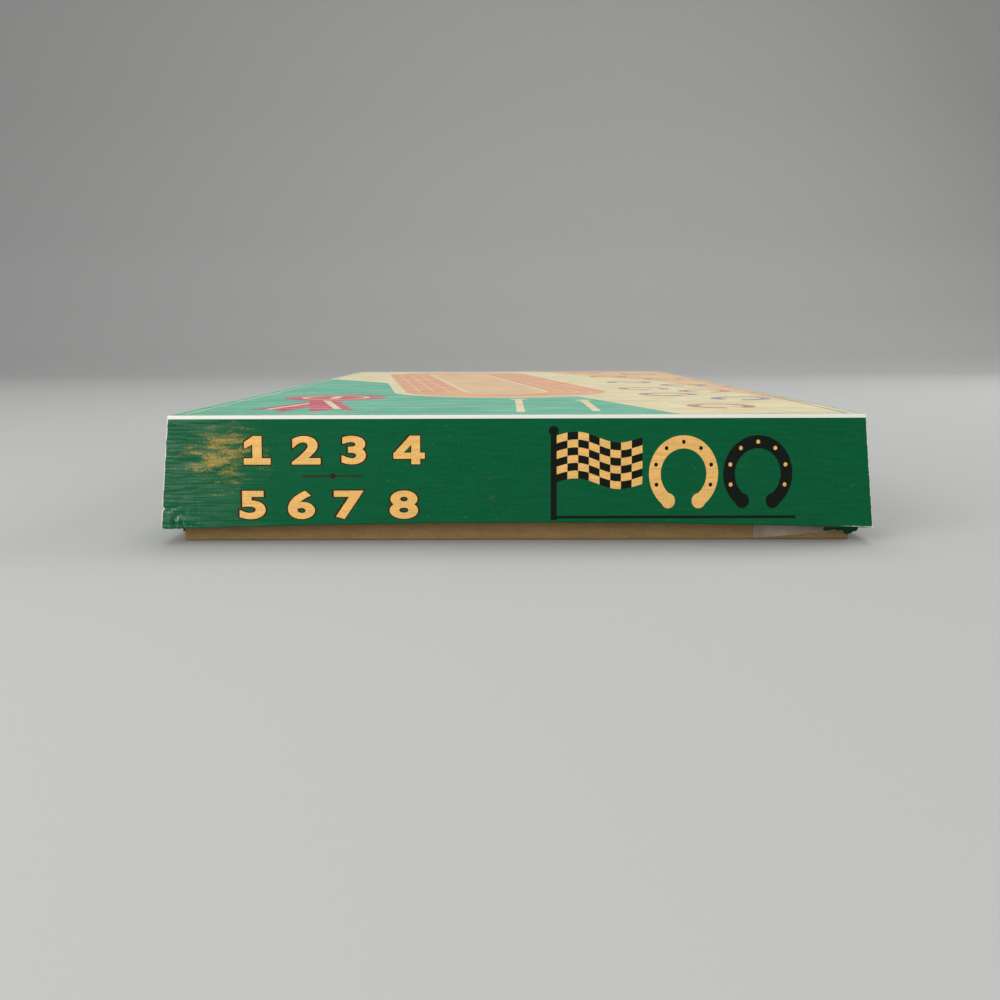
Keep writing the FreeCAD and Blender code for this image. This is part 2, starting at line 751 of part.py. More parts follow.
# Wells: folded card cups with a lip that lies on the deck.
def make_well(label, side, with_divider):
    def span(low, high):
        return (low, high) if side > 0 else (f"-{high}", f"-{low}")

    wall = "sizes.well_wall"
    lip = "sizes.well_lip"
    body = new_body(f"{label}_body")
    cup = sketch_on(body, f"{label}_cup_outline", "XY_Plane", WELL_UNDER)
    draw_rectangle(cup, "cup", span(WELL_INNER_X, WELL_OUTER_X), (WELL_FRONT, WELL_BACK))
    pad(body, cup, f"{label}_cup", f"{DECK_TOP} - {WELL_UNDER}")
    rim = sketch_on(body, f"{label}_lip_outline", "XY_Plane", DECK_TOP)
    draw_rectangle(
        rim,
        "lip",
        span(f"({WELL_INNER_X} - {lip})", f"({WELL_OUTER_X} + {lip})"),
        (f"{WELL_FRONT} - {lip}", f"{WELL_BACK} + {lip}"),
    )
    pad(body, rim, f"{label}_lip", "sizes.well_lip_thickness")
    hollow = sketch_on(
        body, f"{label}_hollow_outline", "XY_Plane", f"{DECK_TOP} + sizes.well_lip_thickness"
    )
    ends = (f"{WELL_FRONT} + {wall}", f"{WELL_BACK} - {wall}")
    inner = f"({WELL_INNER_X} + {wall})"
    outer = f"({WELL_OUTER_X} - {wall})"
    if with_divider:
        draw_rectangle(hollow, "near", span(inner, f"({WELL_X} - {wall} / 2)"), ends)
        draw_rectangle(hollow, "far", span(f"({WELL_X} + {wall} / 2)", outer), ends)
    else:
        draw_rectangle(hollow, "whole", span(inner, outer), ends)
    depth = f"{DECK_TOP} + sizes.well_lip_thickness - {WELL_FLOOR}"
    pocket(body, hollow, f"{label}_hollow", depth)
    keep(body, label)


def make_counters():
    """Two rows of wooden betting counters, on edge in the divided well."""
    row_shift = f"(({ROW_WIDTH} + sizes.well_wall) / 2)"
    radius = number(COUNTER_RADIUS)
    thickness = number("sizes.counter_thickness")
    disc = Part.makeCylinder(radius, thickness, Vector(), Vector(0, 1, 0))
    rims = [e for e in disc.Edges if e.Closed and len(e.Vertexes) == 1]
    counter = doc.addObject("Part::Feature", "counter_pattern")
    counter.Shape = disc.makeFillet(number("sizes.counter_bevel"), rims)
    pitch = thickness + number("sizes.counter_gap")
    height = number(f"{WELL_FLOOR}") + radius
    first = number(WELL_FRONT) + number("sizes.well_wall") + number("sizes.counter_gap")
    for label, place_x in (
        ("red_counters", f"-({WELL_X} + {row_shift})"),
        ("blue_counters", f"-({WELL_X} - {row_shift})"),
    ):
        offsets = [
            Vector(number(place_x), first + index * pitch, height)
            for index in range(COUNTERS_IN_A_ROW)
        ]
        keep(copies(f"{label}_group", counter, offsets), label)


def make_papers():
    """A folded leaflet under a pile of betting cards, flat in the open well."""
    half_width = f"({WELL_CLEAR_WIDTH} / 2 - sizes.card_side_gap)"
    half_length = f"({WELL_CLEAR_LENGTH} / 2 - sizes.card_end_gap)"
    middle_y = f"({WELL_FRONT} + {WELL_BACK}) / 2"
    across = (f"{WELL_X} - {half_width}", f"{WELL_X} + {half_width}")
    along = (f"{middle_y} - {half_length}", f"{middle_y} + {half_length}")
    sheet_step = "(sizes.leaflet_thickness + sizes.paper_gap)"
    panels = []
    for index in range(LEAFLET_PANELS):
        low = f"({WELL_FLOOR} + {index} * {sheet_step})"
        panels.append(
            block(f"panel_{index}", across, along, (low, f"{low} + sizes.leaflet_thickness"))
        )
    fold_x = (across[1], f"{across[1]} + sizes.leaflet_thickness")
    leaflet_top = f"({WELL_FLOOR} + {LEAFLET_PANELS} * {sheet_step})"
    fold_left_x = (f"{across[0]} - sizes.leaflet_thickness", across[0])
    first_levels = (WELL_FLOOR, f"{WELL_FLOOR} + 2 * {sheet_step} - sizes.paper_gap")
    second_levels = (f"{WELL_FLOOR} + {sheet_step}", f"{leaflet_top} - sizes.paper_gap")
    folds = [
        block("fold_right", fold_x, along, first_levels),
        block("fold_left", fold_left_x, along, second_levels),
    ]
    keep(fuse("leaflet_fuse", [*panels, *folds]), "rules_leaflet")
    card_step = "(sizes.card_thickness + sizes.paper_gap)"
    cards = []
    for index in range(CARDS):
        low = f"({leaflet_top} + {index} * {card_step})"
        cards.append(block(f"card_{index}", across, along, (low, f"{low} + sizes.card_thickness")))
    keep(group("betting_cards_group", cards), "betting_cards")


# Gear train: involute wheels with stub teeth, cut thin enough to run with backlash.
def flank_angle(radius, base_radius):
    """The involute's polar angle at a radius, from where it leaves the base circle."""
    if radius <= base_radius:
        return 0.0
    roll = math.sqrt((radius / base_radius) ** 2 - 1)
    return roll - math.atan(roll)


def gear_outline(teeth, turn):
    """A wheel's outline, with the middle of a tooth at the angle turn."""
    module = number("sizes.gear_module")
    pitch_radius = teeth * module / 2
    base_radius = pitch_radius * math.cos(PRESSURE_ANGLE)
    tip_radius = pitch_radius + TOOTH_ADDENDUM * module
    root_radius = pitch_radius - TOOTH_DEDENDUM * module
    flank_start = max(base_radius, root_radius + ROOT_LAND * module)
    half_tooth = math.pi / (2 * teeth) - number("sizes.backlash") / (2 * pitch_radius)
    half_tooth += flank_angle(pitch_radius, base_radius)

    def polar(radius, angle):
        return Vector(radius * math.cos(angle), radius * math.sin(angle), 0)

    edges = []
    step = 2 * math.pi / teeth
    middle_radius = (flank_start + tip_radius) / 2
    for tooth in range(teeth):
        middle = turn + tooth * step

        def on_flank(radius, side, centre=middle):
            return polar(radius, centre + side * (half_tooth - flank_angle(radius, base_radius)))

        root_out = on_flank(root_radius, 1)
        next_root = on_flank(root_radius, -1, middle + step)
        edges.append(Part.makeLine(on_flank(root_radius, -1), on_flank(flank_start, -1)))
        edges.append(
            Part.Arc(
                on_flank(flank_start, -1), on_flank(middle_radius, -1), on_flank(tip_radius, -1)
            ).toShape()
        )
        edges.append(
            Part.Arc(
                on_flank(tip_radius, -1), polar(tip_radius, middle), on_flank(tip_radius, 1)
            ).toShape()
        )
        edges.append(
            Part.Arc(
                on_flank(tip_radius, 1), on_flank(middle_radius, 1), on_flank(flank_start, 1)
            ).toShape()
        )
        edges.append(Part.makeLine(on_flank(flank_start, 1), root_out))
        edges.append(
            Part.Arc(root_out, polar(root_radius, middle + step / 2), next_root).toShape()
        )
    return Part.Wire(edges)


def gear_wheel(teeth, turn, x, y, low, high, bore):
    """A toothed disc between two levels, bored for its shaft."""
    where = Vector(number(x), number(y), number(low))
    height = number(high) - number(low)
    wheel = Part.Face(gear_outline(teeth, turn)).extrude(Vector(0, 0, height))
    wheel = wheel.cut(Part.makeCylinder(number(bore), height))
    wheel.translate(where)
    return wheel


def with_web_holes(wheel, y, low, high, count, ring, radius):
    """Round holes through the web of a wheel on the middle line, evenly spaced."""
    height = number(high) - number(low)
    for index in range(count):
        angle = 2 * math.pi * (index + 0.5) / count
        centre = Vector(ring * math.cos(angle), number(y) + ring * math.sin(angle), number(low))
        wheel = wheel.cut(Part.makeCylinder(number(radius), height, centre))
    return wheel


def make_gears():
    module = number("sizes.gear_module")
    towards_idler = math.pi / 2
    # The crank wheel shows a tooth to the idler's pinion, which shows a gap to it.
    crank_levels = (CRANK_GEAR_UNDER, CRANK_GEAR_TOP)
    crank_wheel = gear_wheel(
        CRANK_TEETH, towards_idler, "0", CRANK_Y, *crank_levels, "sizes.shaft_radius"
    )
    crank_root = number(CRANK_GEAR_RADIUS) - TOOTH_DEDENDUM * module
    crank_ring = (crank_root + number("sizes.hub_radius")) / 2
    crank_wheel = with_web_holes(
        crank_wheel, CRANK_Y, *crank_levels, CRANK_WEB_HOLES, crank_ring, "sizes.crank_web_hole"
    )
    hub_foot = number(CRANK_GEAR_TOP)
    hub_height = number(DECK_UNDER) - number("sizes.end_float") - hub_foot
    hub_centre = Vector(0, number(CRANK_Y), hub_foot)
    hub = Part.makeCylinder(number("sizes.hub_radius"), hub_height, hub_centre)
    hub = hub.cut(Part.makeCylinder(number("sizes.shaft_radius"), hub_height, hub_centre))
    crank_wheel = crank_wheel.fuse(hub).removeSplitter()
    keep(solid("crank_gear_shape", crank_wheel), "crank_gear")

    pinion_gap = -towards_idler + math.pi / PINION_TEETH
    pinion_top = f"({CRANK_GEAR_TOP} + sizes.end_float)"
    idler_pinion = gear_wheel(
        PINION_TEETH, pinion_gap, "0", IDLER_Y, IDLER_GEAR_TOP, pinion_top, "sizes.spindle_radius"
    )
    keep(solid("idler_pinion_shape", idler_pinion), "idler_pinion")

    towards_fly = math.radians(number("sizes.fly_bearing_angle"))
    idler_levels = (IDLER_GEAR_UNDER, IDLER_GEAR_TOP)
    idler_wheel = gear_wheel(
        IDLER_TEETH, towards_fly, "0", IDLER_Y, *idler_levels, "sizes.spindle_radius"
    )
    idler_root = (IDLER_TEETH / 2 - TOOTH_DEDENDUM) * module
    pinion_tip = (PINION_TEETH / 2 + TOOTH_ADDENDUM) * module
    idler_ring = (idler_root + pinion_tip) / 2
    idler_wheel = with_web_holes(
        idler_wheel, IDLER_Y, *idler_levels, IDLER_WEB_HOLES, idler_ring, "sizes.idler_web_hole"
    )
    keep(solid("idler_gear_shape", idler_wheel), "idler_gear")

    fly_gap = towards_fly + math.pi + math.pi / PINION_TEETH
    fly_pinion = gear_wheel(
        PINION_TEETH,
        fly_gap,
        FLY_X,
        FLY_Y,
        FLY_TOP,
        f"({IDLER_GEAR_TOP} + sizes.end_float)",
        "sizes.spindle_radius",
    )
    keep(solid("fly_pinion_shape", fly_pinion), "fly_pinion")


def make_shafts():
    """The crank shaft and the two small arbors, shouldered above the lower plate."""
    journal_top = f"({PLATE_TOP} + sizes.end_float)"
    collar_under = f"({DECK_TOP} + sizes.bush_flange + 0.5 * sizes.end_float)"
    crank_shaft = turned(
        "crank_shaft_turned",
        [
            ("0", PLATE_UNDER),
            ("sizes.journal_radius", PLATE_UNDER),
            ("sizes.journal_radius", journal_top),
            ("sizes.shaft_radius", journal_top),
            ("sizes.shaft_radius", collar_under),
            ("sizes.collar_radius", collar_under),
            ("sizes.collar_radius", ARM_UNDER),
            (THREAD_RADIUS, ARM_UNDER),
            (THREAD_RADIUS, THREAD_TOP),
            ("0", THREAD_TOP),
        ],
        "0",
        CRANK_Y,
    )
    keep(crank_shaft, "crank_shaft")
    small_top = f"({DECK_TOP} - sizes.end_float)"
    shoulder = f"({DECK_UNDER} - sizes.end_float)"
    for label, x, y in (("idler_arbor", "0", IDLER_Y), ("fly_arbor", FLY_X, FLY_Y)):
        arbor = turned(
            f"{label}_turned",
            [
                ("0", PLATE_UNDER),
                ("sizes.journal_radius", PLATE_UNDER),
                ("sizes.journal_radius", journal_top),
                ("sizes.spindle_radius", journal_top),
                ("sizes.spindle_radius", shoulder),
                ("sizes.journal_radius", shoulder),
                ("sizes.journal_radius", small_top),
                ("0", small_top),
            ],
            x,
            y,
        )
        keep(arbor, label)


def make_flyweight():
    """A half disc of brass on the fastest arbor, with a full ring round the bore."""
    low = number(FLY_UNDER)
    height = number("sizes.fly_thickness")
    radius = number("sizes.fly_radius")
    ring = number("sizes.spindle_radius") + number("sizes.fly_hub_wall")
    x, y = number(FLY_X), number(FLY_Y)
    half = Part.makeCylinder(radius, height, Vector(x, y, low), Vector(0, 0, 1), 180)
    weight = half.fuse(Part.makeCylinder(ring, height, Vector(x, y, low)))
    weight = weight.cut(Part.makeCylinder(number("sizes.spindle_radius"), height, Vector(x, y, low)))
    keep(solid("flyweight_shape", weight.removeSplitter()), "flyweight")


def flanged_bush(name, journal, wall, flange, flange_height, x, y):
    bore = f"({journal} + sizes.running_clearance)"
    top = f"({DECK_TOP} + {flange_height})"
    return turned(
        name,
        [
            (bore, DECK_UNDER),
            (wall, DECK_UNDER),
            (wall, DECK_TOP),
            (flange, DECK_TOP),
            (flange, top),
            (bore, top),
        ],
        x,
        y,
    )


def make_bushes():
    """Flanged brass bushes in the deck for the crank shaft and the two arbors."""
    crank_bush = flanged_bush(
        "crank_bush_turned",
        "sizes.shaft_radius",
        BUSH_RADIUS,
        "sizes.bush_flange_radius",
        "sizes.bush_flange",
        "0",
        CRANK_Y,
    )
    keep(crank_bush, "crank_bush")
    small_flange = f"({SMALL_BUSH_RADIUS} + sizes.small_flange_reach)"
    small_bushes = [
        flanged_bush(
            name,
            "sizes.journal_radius",
            SMALL_BUSH_RADIUS,
            small_flange,
            "sizes.small_flange",
            x,
            y,
        )
        for name, x, y in (
            ("idler_bush_turned", "0", IDLER_Y),
            ("fly_bush_turned", FLY_X, FLY_Y),
        )
    ]
    keep(group("arbor_bushes_group", small_bushes), "arbor_bushes")


def make_gear_plate():
    """A steel plate hung on four pillars, with a journal hole under each shaft."""
    body = new_body("gear_plate_body")
    outline = sketch_on(body, "gear_plate_outline", "XY_Plane", PLATE_UNDER)
    half = f"({PILLAR_X} + sizes.plate_margin)"
    draw_rectangle(
        outline,
        "plate",
        (f"-{half}", half),
        (f"{PILLAR_FRONT} - sizes.plate_margin", f"{PILLAR_BACK} + sizes.plate_margin"),
    )
    pad(body, outline, "gear_plate_sheet", "sizes.plate_thickness")
    holes = sketch_on(body, "gear_plate_holes", "XY_Plane", PLATE_TOP)
    journal = "(sizes.journal_radius + sizes.running_clearance)"
    for tag, x, y in (("crank", "0", CRANK_Y), ("idler", "0", IDLER_Y), ("fly", FLY_X, FLY_Y)):
        draw_circle(holes, tag, x, y, journal)
    pocket(body, holes, "gear_plate_bores", "sizes.plate_thickness")
    keep(body, "gear_plate")

    thread_foot = f"({DECK_UNDER} - sizes.pillar_screw_bite)"
    pillar = turned(
        "pillar_pattern",
        [
            ("0", PLATE_TOP),
            ("sizes.pillar_radius", PLATE_TOP),
            ("sizes.pillar_radius", DECK_UNDER),
            ("sizes.pillar_screw_radius", DECK_UNDER),
            ("sizes.pillar_screw_radius", thread_foot),
            ("0", thread_foot),
        ],
    )
    head_top = f"({DECK_TOP} + sizes.pillar_head_height)"
    screw = turned(
        "pillar_screw_pattern",
        [
            ("0", thread_foot),
            ("sizes.pillar_screw_radius", thread_foot),
            ("sizes.pillar_screw_radius", DECK_TOP),
            ("sizes.pillar_head_radius", DECK_TOP),
            (f"({HEAD_FLAT} * sizes.pillar_head_radius)", head_top),
            ("0", head_top),
        ],
    )
    places = [Vector(number(x), number(y), 0) for x, y in pillar_places()]
    keep(copies("gear_pillars_group", pillar, places), "gear_pillars")
    keep(copies("pillar_screws_group", screw, places), "pillar_screws")


# Crank: a pressed steel arm under an acorn nut, with a turned knob spinning on a rivet.
def make_crank_arm():
    body = new_body("crank_arm_body")
    half = "sizes.arm_width / 2"
    hub_eye = sketch_on(body, "arm_hub_end", "XY_Plane", ARM_UNDER)
    draw_circle(hub_eye, "hub_end", "0", "0", half)
    pad(body, hub_eye, "arm_hub_end_pad", "sizes.arm_thickness")
    strip = sketch_on(body, "arm_strip", "XY_Plane", ARM_UNDER)
    draw_rectangle(strip, "strip", ("0", "sizes.crank_throw"), (f"-{half}", half))
    pad(body, strip, "arm_strip_pad", "sizes.arm_thickness")
    knob_eye = sketch_on(body, "arm_knob_end", "XY_Plane", ARM_UNDER)
    draw_circle(knob_eye, "knob_end", "sizes.crank_throw", "0", half)
    pad(body, knob_eye, "arm_knob_end_pad", "sizes.arm_thickness")
    holes = sketch_on(body, "arm_holes", "XY_Plane", ARM_TOP)
    draw_circle(holes, "thread", "0", "0", THREAD_RADIUS)
    draw_circle(holes, "rivet", "sizes.crank_throw", "0", "sizes.knob_pin_radius")
    pocket(body, holes, "arm_bores", "sizes.arm_thickness")
    place(body, "0", CRANK_Y)
    keep(body, "crank_arm")


def turned_outline(shares, radius, foot, height):
    """Corners for turned(), from shares of a radius and of a height above a foot level."""
    return [
        (f"({girth} * {radius})", f"({foot} + {level} * {height})") for girth, level in shares
    ]


def make_crank_fittings():
    nut = turned(
        "crank_nut_turned",
        [
            (THREAD_RADIUS, ARM_TOP),
            *turned_outline(NUT_OUTLINE, "sizes.nut_radius", ARM_TOP, "sizes.nut_height"),
            ("0", f"({ARM_TOP} + sizes.nut_height)"),
            ("0", THREAD_TOP),
            (THREAD_RADIUS, THREAD_TOP),
        ],
        "0",
        CRANK_Y,
    )
    keep(nut, "crank_nut")

    bore = "(sizes.knob_pin_radius + sizes.running_clearance)"
    recess = "(sizes.rivet_head_radius + sizes.rivet_recess_gap)"
    recess_floor = f"({KNOB_TOP} - 2 * sizes.rivet_head_height)"

    knob = turned(
        "crank_knob_turned",
        [
            (bore, KNOB_FOOT),
            *turned_outline(KNOB_OUTLINE, "sizes.knob_radius", KNOB_FOOT, "sizes.knob_height"),
            (recess, KNOB_TOP),
            (recess, recess_floor),
            (bore, recess_floor),
        ],
        "sizes.crank_throw",
        CRANK_Y,
    )
    keep(knob, "crank_knob")

    head_under = f"({recess_floor} + sizes.end_float)"
    head_top = f"({head_under} + sizes.rivet_head_height)"
    peen = f"({ARM_UNDER} - sizes.peen_height)"
    rivet = turned(
        "knob_rivet_turned",
        [
            ("0", peen),
            (f"({HEAD_FLAT} * sizes.rivet_head_radius)", peen),
            ("sizes.rivet_head_radius", ARM_UNDER),
            ("sizes.knob_pin_radius", ARM_UNDER),
            ("sizes.knob_pin_radius", head_under),
            ("sizes.rivet_head_radius", head_under),
            (f"({HEAD_FLAT} * sizes.rivet_head_radius)", head_top),
            ("0", head_top),
        ],
        "sizes.crank_throw",
        CRANK_Y,
    )
    keep(rivet, "knob_rivet")


# Start gate: fingers on a tube round a wire rod, swung up through the deck by a side lever.
def on_gate_axis(name, x, radius):
    """A cylinder along the gate's axis between the two places in x."""
    made = doc.addObject("Part::Cylinder", name)
    made.setExpression("Radius", str(radius))
    made.setExpression("Height", f"({x[1]}) - ({x[0]})")
    made.Placement = FreeCAD.Placement(Vector(), FreeCAD.Rotation(Vector(0, 1, 0), 90))
    return place(made, x[0], GATE_Y, GATE_Z)


def make_start_gate():
    hanger_back = f"({HANGER_X} + sizes.hanger_thickness)"
    left_hanger = (f"-{hanger_back}", f"-{HANGER_X}")
    right_hanger = (HANGER_X, hanger_back)
    rod_left = f"(-{hanger_back} - sizes.rod_overhang)"
    rod_right = f"({LEVER_X} + sizes.lever_thickness / 2 + sizes.end_float)"
    keep(on_gate_axis("gate_rod_wire", (rod_left, rod_right), "sizes.gate_rod_radius"), "gate_rod")

    tube_ends = (f"(-{HANGER_X} + sizes.end_float)", f"({HANGER_X} - sizes.end_float)")
    comb = [on_gate_axis("comb_tube", tube_ends, GATE_TUBE)]
    for lane in range(1, LANES + 1):
        middle = lane_x(lane)
        comb.append(
            block(
                f"finger_{lane}",
                (f"{middle} - sizes.finger_width / 2", f"{middle} + sizes.finger_width / 2"),
                (GATE_Y, f"{GATE_Y} + sizes.finger_reach"),
                (f"{GATE_Z} - sizes.finger_depth / 2", f"{GATE_Z} + sizes.finger_depth / 2"),
            )
        )
    bore = on_gate_axis("comb_bore", tube_ends, "sizes.gate_rod_radius")
    keep(cut("gate_comb_cut", fuse("gate_comb_fuse", comb), bore), "gate_comb")

    lever_x = (
        f"({LEVER_X} - sizes.lever_thickness / 2)",
        f"({LEVER_X} + sizes.lever_thickness / 2)",
    )
    thickness = number("sizes.lever_thickness")
    reach = number("sizes.lever_reach")
    depth = number("sizes.lever_depth")
    hinge = Vector(number(lever_x[0]), number(GATE_Y), number(GATE_Z))
    strip = Part.makeBox(thickness, reach, depth, hinge - Vector(0, 0, depth / 2))
    eye_radius = number(GATE_TUBE) + number("sizes.lever_eye_wall")
    eye = Part.makeCylinder(eye_radius, thickness, hinge, Vector(1, 0, 0))
    strip.rotate(hinge, Vector(1, 0, 0), LEVER_RISE)
    lever = strip.fuse(eye).cut(
        Part.makeCylinder(number("sizes.gate_rod_radius"), thickness, hinge, Vector(1, 0, 0))
    )
    keep(solid("gate_lever_shape", lever.removeSplitter()), "gate_lever")

    ball_radius = number("sizes.lever_ball_radius")
    rise = math.radians(LEVER_RISE)
    tip = hinge + Vector(thickness / 2, reach * math.cos(rise), reach * math.sin(rise))
    ball = Part.makeSphere(ball_radius, tip)
    keep(solid("gate_knob_shape", ball.cut(lever)), "gate_knob")

    hangers = []
    bore_radius = "(sizes.gate_rod_radius + sizes.running_clearance)"
    for tag, x in (("left", left_hanger), ("right", right_hanger)):
        sheet_y = (f"{GATE_Y} - sizes.hanger_width / 2", f"{GATE_Y} + sizes.hanger_width / 2")
        web_z = (f"{GATE_Z} - sizes.hanger_drop", DECK_UNDER)
        web = block(f"hanger_web_{tag}", x, sheet_y, web_z)
        hangers.append(
            cut(f"hanger_{tag}", web, on_gate_axis(f"hanger_bore_{tag}", x, bore_radius))
        )
    keep(group("gate_hangers_group", hangers), "gate_hangers")


# Horses: a base on two brushes, and a cut-out figure of horse and rider.
# Each limb is (first y, first z, first radius, last y, last z, last radius, low x, high x),
# with y forwards from the middle of the base and z up from the base's top.
FIGURE_LIMBS = {
    "rump": (-7.2, 11.6, 3.6, -2.0, 11.6, 3.1, -2.9, 2.9),
    "barrel": (-2.0, 11.6, 3.1, 4.0, 11.9, 3.4, -2.9, 2.9),
    "neck": (4.6, 12.8, 2.7, 9.6, 16.9, 1.6, -1.7, 1.7),
    "head": (9.8, 17.1, 1.5, 14.2, 14.4, 0.9, -1.2, 1.2),
    "ear": (9.4, 18.0, 0.6, 9.9, 19.7, 0.25, -1.0, 1.0),
    "tail_root": (-10.2, 13.2, 0.9, -13.6, 12.9, 0.9, -0.7, 0.7),
    "tail_end": (-13.6, 12.9, 0.9, -16.2, 10.8, 0.4, -0.7, 0.7),
    "right_thigh": (-8.4, 10.0, 2.2, -10.9, 6.4, 1.1, 0.6, 2.6),
    "right_hock": (-10.9, 6.4, 1.0, -13.5, 3.9, 0.65, 0.6, 2.6),
    "right_hind_hoof": (-13.5, 3.9, 0.65, -15.2, 2.9, 0.8, 0.6, 2.6),
    "left_thigh": (-7.0, 9.8, 2.2, -6.8, 5.8, 1.1, -2.6, -0.6),
    "left_hock": (-6.8, 5.8, 1.0, -9.3, 3.0, 0.65, -2.6, -0.6),
    "left_hind_hoof": (-9.3, 3.0, 0.65, -9.0, 0.8, 0.8, -2.6, -0.6),
    "right_forearm": (4.8, 10.4, 1.8, 9.4, 8.2, 0.95, 0.6, 2.6),
    "right_cannon": (9.4, 8.2, 0.85, 12.9, 5.4, 0.6, 0.6, 2.6),
    "right_fore_hoof": (12.9, 5.4, 0.6, 14.4, 4.7, 0.75, 0.6, 2.6),
    "left_forearm": (4.0, 10.0, 1.8, 7.2, 6.4, 0.95, -2.6, -0.6),
    "left_cannon": (7.2, 6.4, 0.85, 6.6, 2.4, 0.6, -2.6, -0.6),
    "left_fore_hoof": (6.6, 2.4, 0.6, 7.5, 0.75, 0.75, -2.6, -0.6),
    "rider_thigh": (-1.4, 16.0, 1.2, 2.6, 14.8, 1.0, -3.3, 3.3),
    "rider_boot": (2.6, 14.8, 0.9, 0.4, 11.2, 0.8, -3.6, 3.6),
    "rider_toe": (0.4, 11.2, 0.7, 1.9, 10.8, 0.5, -3.6, 3.6),
    "rider_back": (-1.6, 16.6, 1.4, 3.0, 19.2, 1.4, -2.0, 2.0),
    "rider_arm": (3.0, 18.8, 0.7, 5.0, 16.6, 0.6, -2.5, 2.5),
    "rider_hand": (5.0, 16.6, 0.6, 7.4, 16.2, 0.5, -2.0, 2.0),
    "rider_head": (4.9, 20.8, 1.5, 5.3, 20.9, 1.5, -1.4, 1.4),
    "cap_peak": (5.8, 21.4, 0.5, 7.3, 21.0, 0.25, -1.2, 1.2),
}


def limb(y0, z0, r0, y1, z1, r1, low_x, high_x):
    """A flat limb: two round ends joined by their outer tangents, cut from sheet."""
    reach = math.hypot(y1 - y0, z1 - z0)
    heading = math.atan2(z1 - z0, y1 - y0)
    lean = math.acos(max(-1.0, min(1.0, (r0 - r1) / reach)))

    def point(y, z, radius, angle):
        return Vector(low_x, y + radius * math.cos(angle), z + radius * math.sin(angle))

    a0, b0 = point(y0, z0, r0, heading + lean), point(y1, z1, r1, heading + lean)
    a1, b1 = point(y0, z0, r0, heading - lean), point(y1, z1, r1, heading - lean)
    outline = Part.Wire(
        [
            Part.makeLine(a0, b0),
            Part.Arc(b0, point(y1, z1, r1, heading), b1).toShape(),
            Part.makeLine(b1, a1),
            Part.Arc(a1, point(y0, z0, r0, heading + math.pi), a0).toShape(),
        ]
    )
    return Part.Face(outline).extrude(Vector(high_x - low_x, 0, 0))


def horse_figure():
    """Horse and rider as one piece, standing on the base's top at the origin."""
    scale = number("sizes.figure_scale")
    pieces = [limb(*[scale * size for size in sizes]) for sizes in FIGURE_LIMBS.values()]
    figure = pieces[0].multiFuse(pieces[1:])
    return figure.removeSplitter()


def horse_base_parts(x):
    """The base plate and its two brush strips."""
    middle = f"({HORSE_REAR} + {HORSE_FRONT}) / 2"
    half_width = f"{BASE_WIDTH} / 2"
    plate = block(
        "base_plate",
        (f"{x} - {half_width}", f"{x} + {half_width}"),
        (HORSE_REAR, HORSE_FRONT),
        (BASE_UNDER, BASE_TOP),
    )
    brushes = []
    brush_levels = (f"{DECK_TOP} + sizes.brush_float", BASE_UNDER)
    across = (f"{x} - sizes.brush_width / 2", f"{x} + sizes.brush_width / 2")
    for start in (
        f"({HORSE_REAR} + sizes.brush_inset)",
        f"({HORSE_FRONT} - sizes.brush_inset - sizes.brush_length)",
    ):
        brushes.append(
            block("brush_strip", across, (start, f"{start} + sizes.brush_length"), brush_levels)
        )
    return plate, brushes, middle


def make_horses():
    figure = horse_figure()
    radius = number("sizes.base_corner")
    for lane in range(1, LANES + 1):
        x = lane_x(lane)
        plate, brushes, middle = horse_base_parts(x)
        corner = doc.addObject("Part::Fillet", f"base_corners_{lane}")
        doc.recompute()
        corner.Base = plate
        upright = [
            (index, radius, radius)
            for index, edge in enumerate(plate.Shape.Edges, start=1)
            if abs(edge.tangentAt(edge.FirstParameter).z) > 0.9
        ]
        corner.Edges = upright
        keep(fuse(f"horse_base_{lane}", [corner, *brushes]), f"horse_{lane}_base")
        shape = figure.copy()
        shape.translate(Vector(number(x), number(middle), number(BASE_TOP)))
        keep(solid(f"horse_figure_{lane}", shape), f"horse_{lane}_figure")


# Finish end: two winning posts with discs, and a padded bar that stops the horses.
def make_finish():
    for label, side in (("winning_post_left", -1), ("winning_post_right", 1)):
        foot_top = f"({DECK_TOP} + sizes.post_foot_height)"
        top = f"({foot_top} + sizes.post_height)"
        peg = turned(
            f"{label}_peg",
            [
                ("0", DECK_UNDER),
                ("sizes.post_peg_radius", DECK_UNDER),
                ("sizes.post_peg_radius", DECK_TOP),
                ("sizes.post_foot_radius", DECK_TOP),
                ("sizes.post_foot_radius", foot_top),
                ("sizes.post_radius", foot_top),
                ("sizes.post_radius", top),
                ("0", top),
            ],
            f"{side} * {POST_X}",
            FINISH_Y,
        )
        disc = doc.addObject("Part::Cylinder", f"{label}_disc")
        disc.setExpression("Radius", "sizes.disc_radius")
        disc.setExpression("Height", "sizes.disc_thickness")
        disc.Placement = FreeCAD.Placement(Vector(), FreeCAD.Rotation(Vector(1, 0, 0), 90))
        place(
            disc,
            f"{side} * {POST_X}",
            f"{FINISH_Y} + sizes.disc_thickness / 2",
            f"{top} + sizes.disc_lift",
        )
        keep(fuse(f"{label}_fuse", [peg, disc]), label)
    half = f"{TRACK_WIDTH} / 2"
    keep(
        block(
            "stop_bar_strip",
            (f"-{half} - sizes.rail_width / 2", f"{half} + sizes.rail_width / 2"),
            (STOP_BAR_FACE, f"{STOP_BAR_FACE} + sizes.stop_bar_width"),
            (DECK_TOP, f"{DECK_TOP} + sizes.stop_bar_height"),
        ),
        "stop_bar",
    )


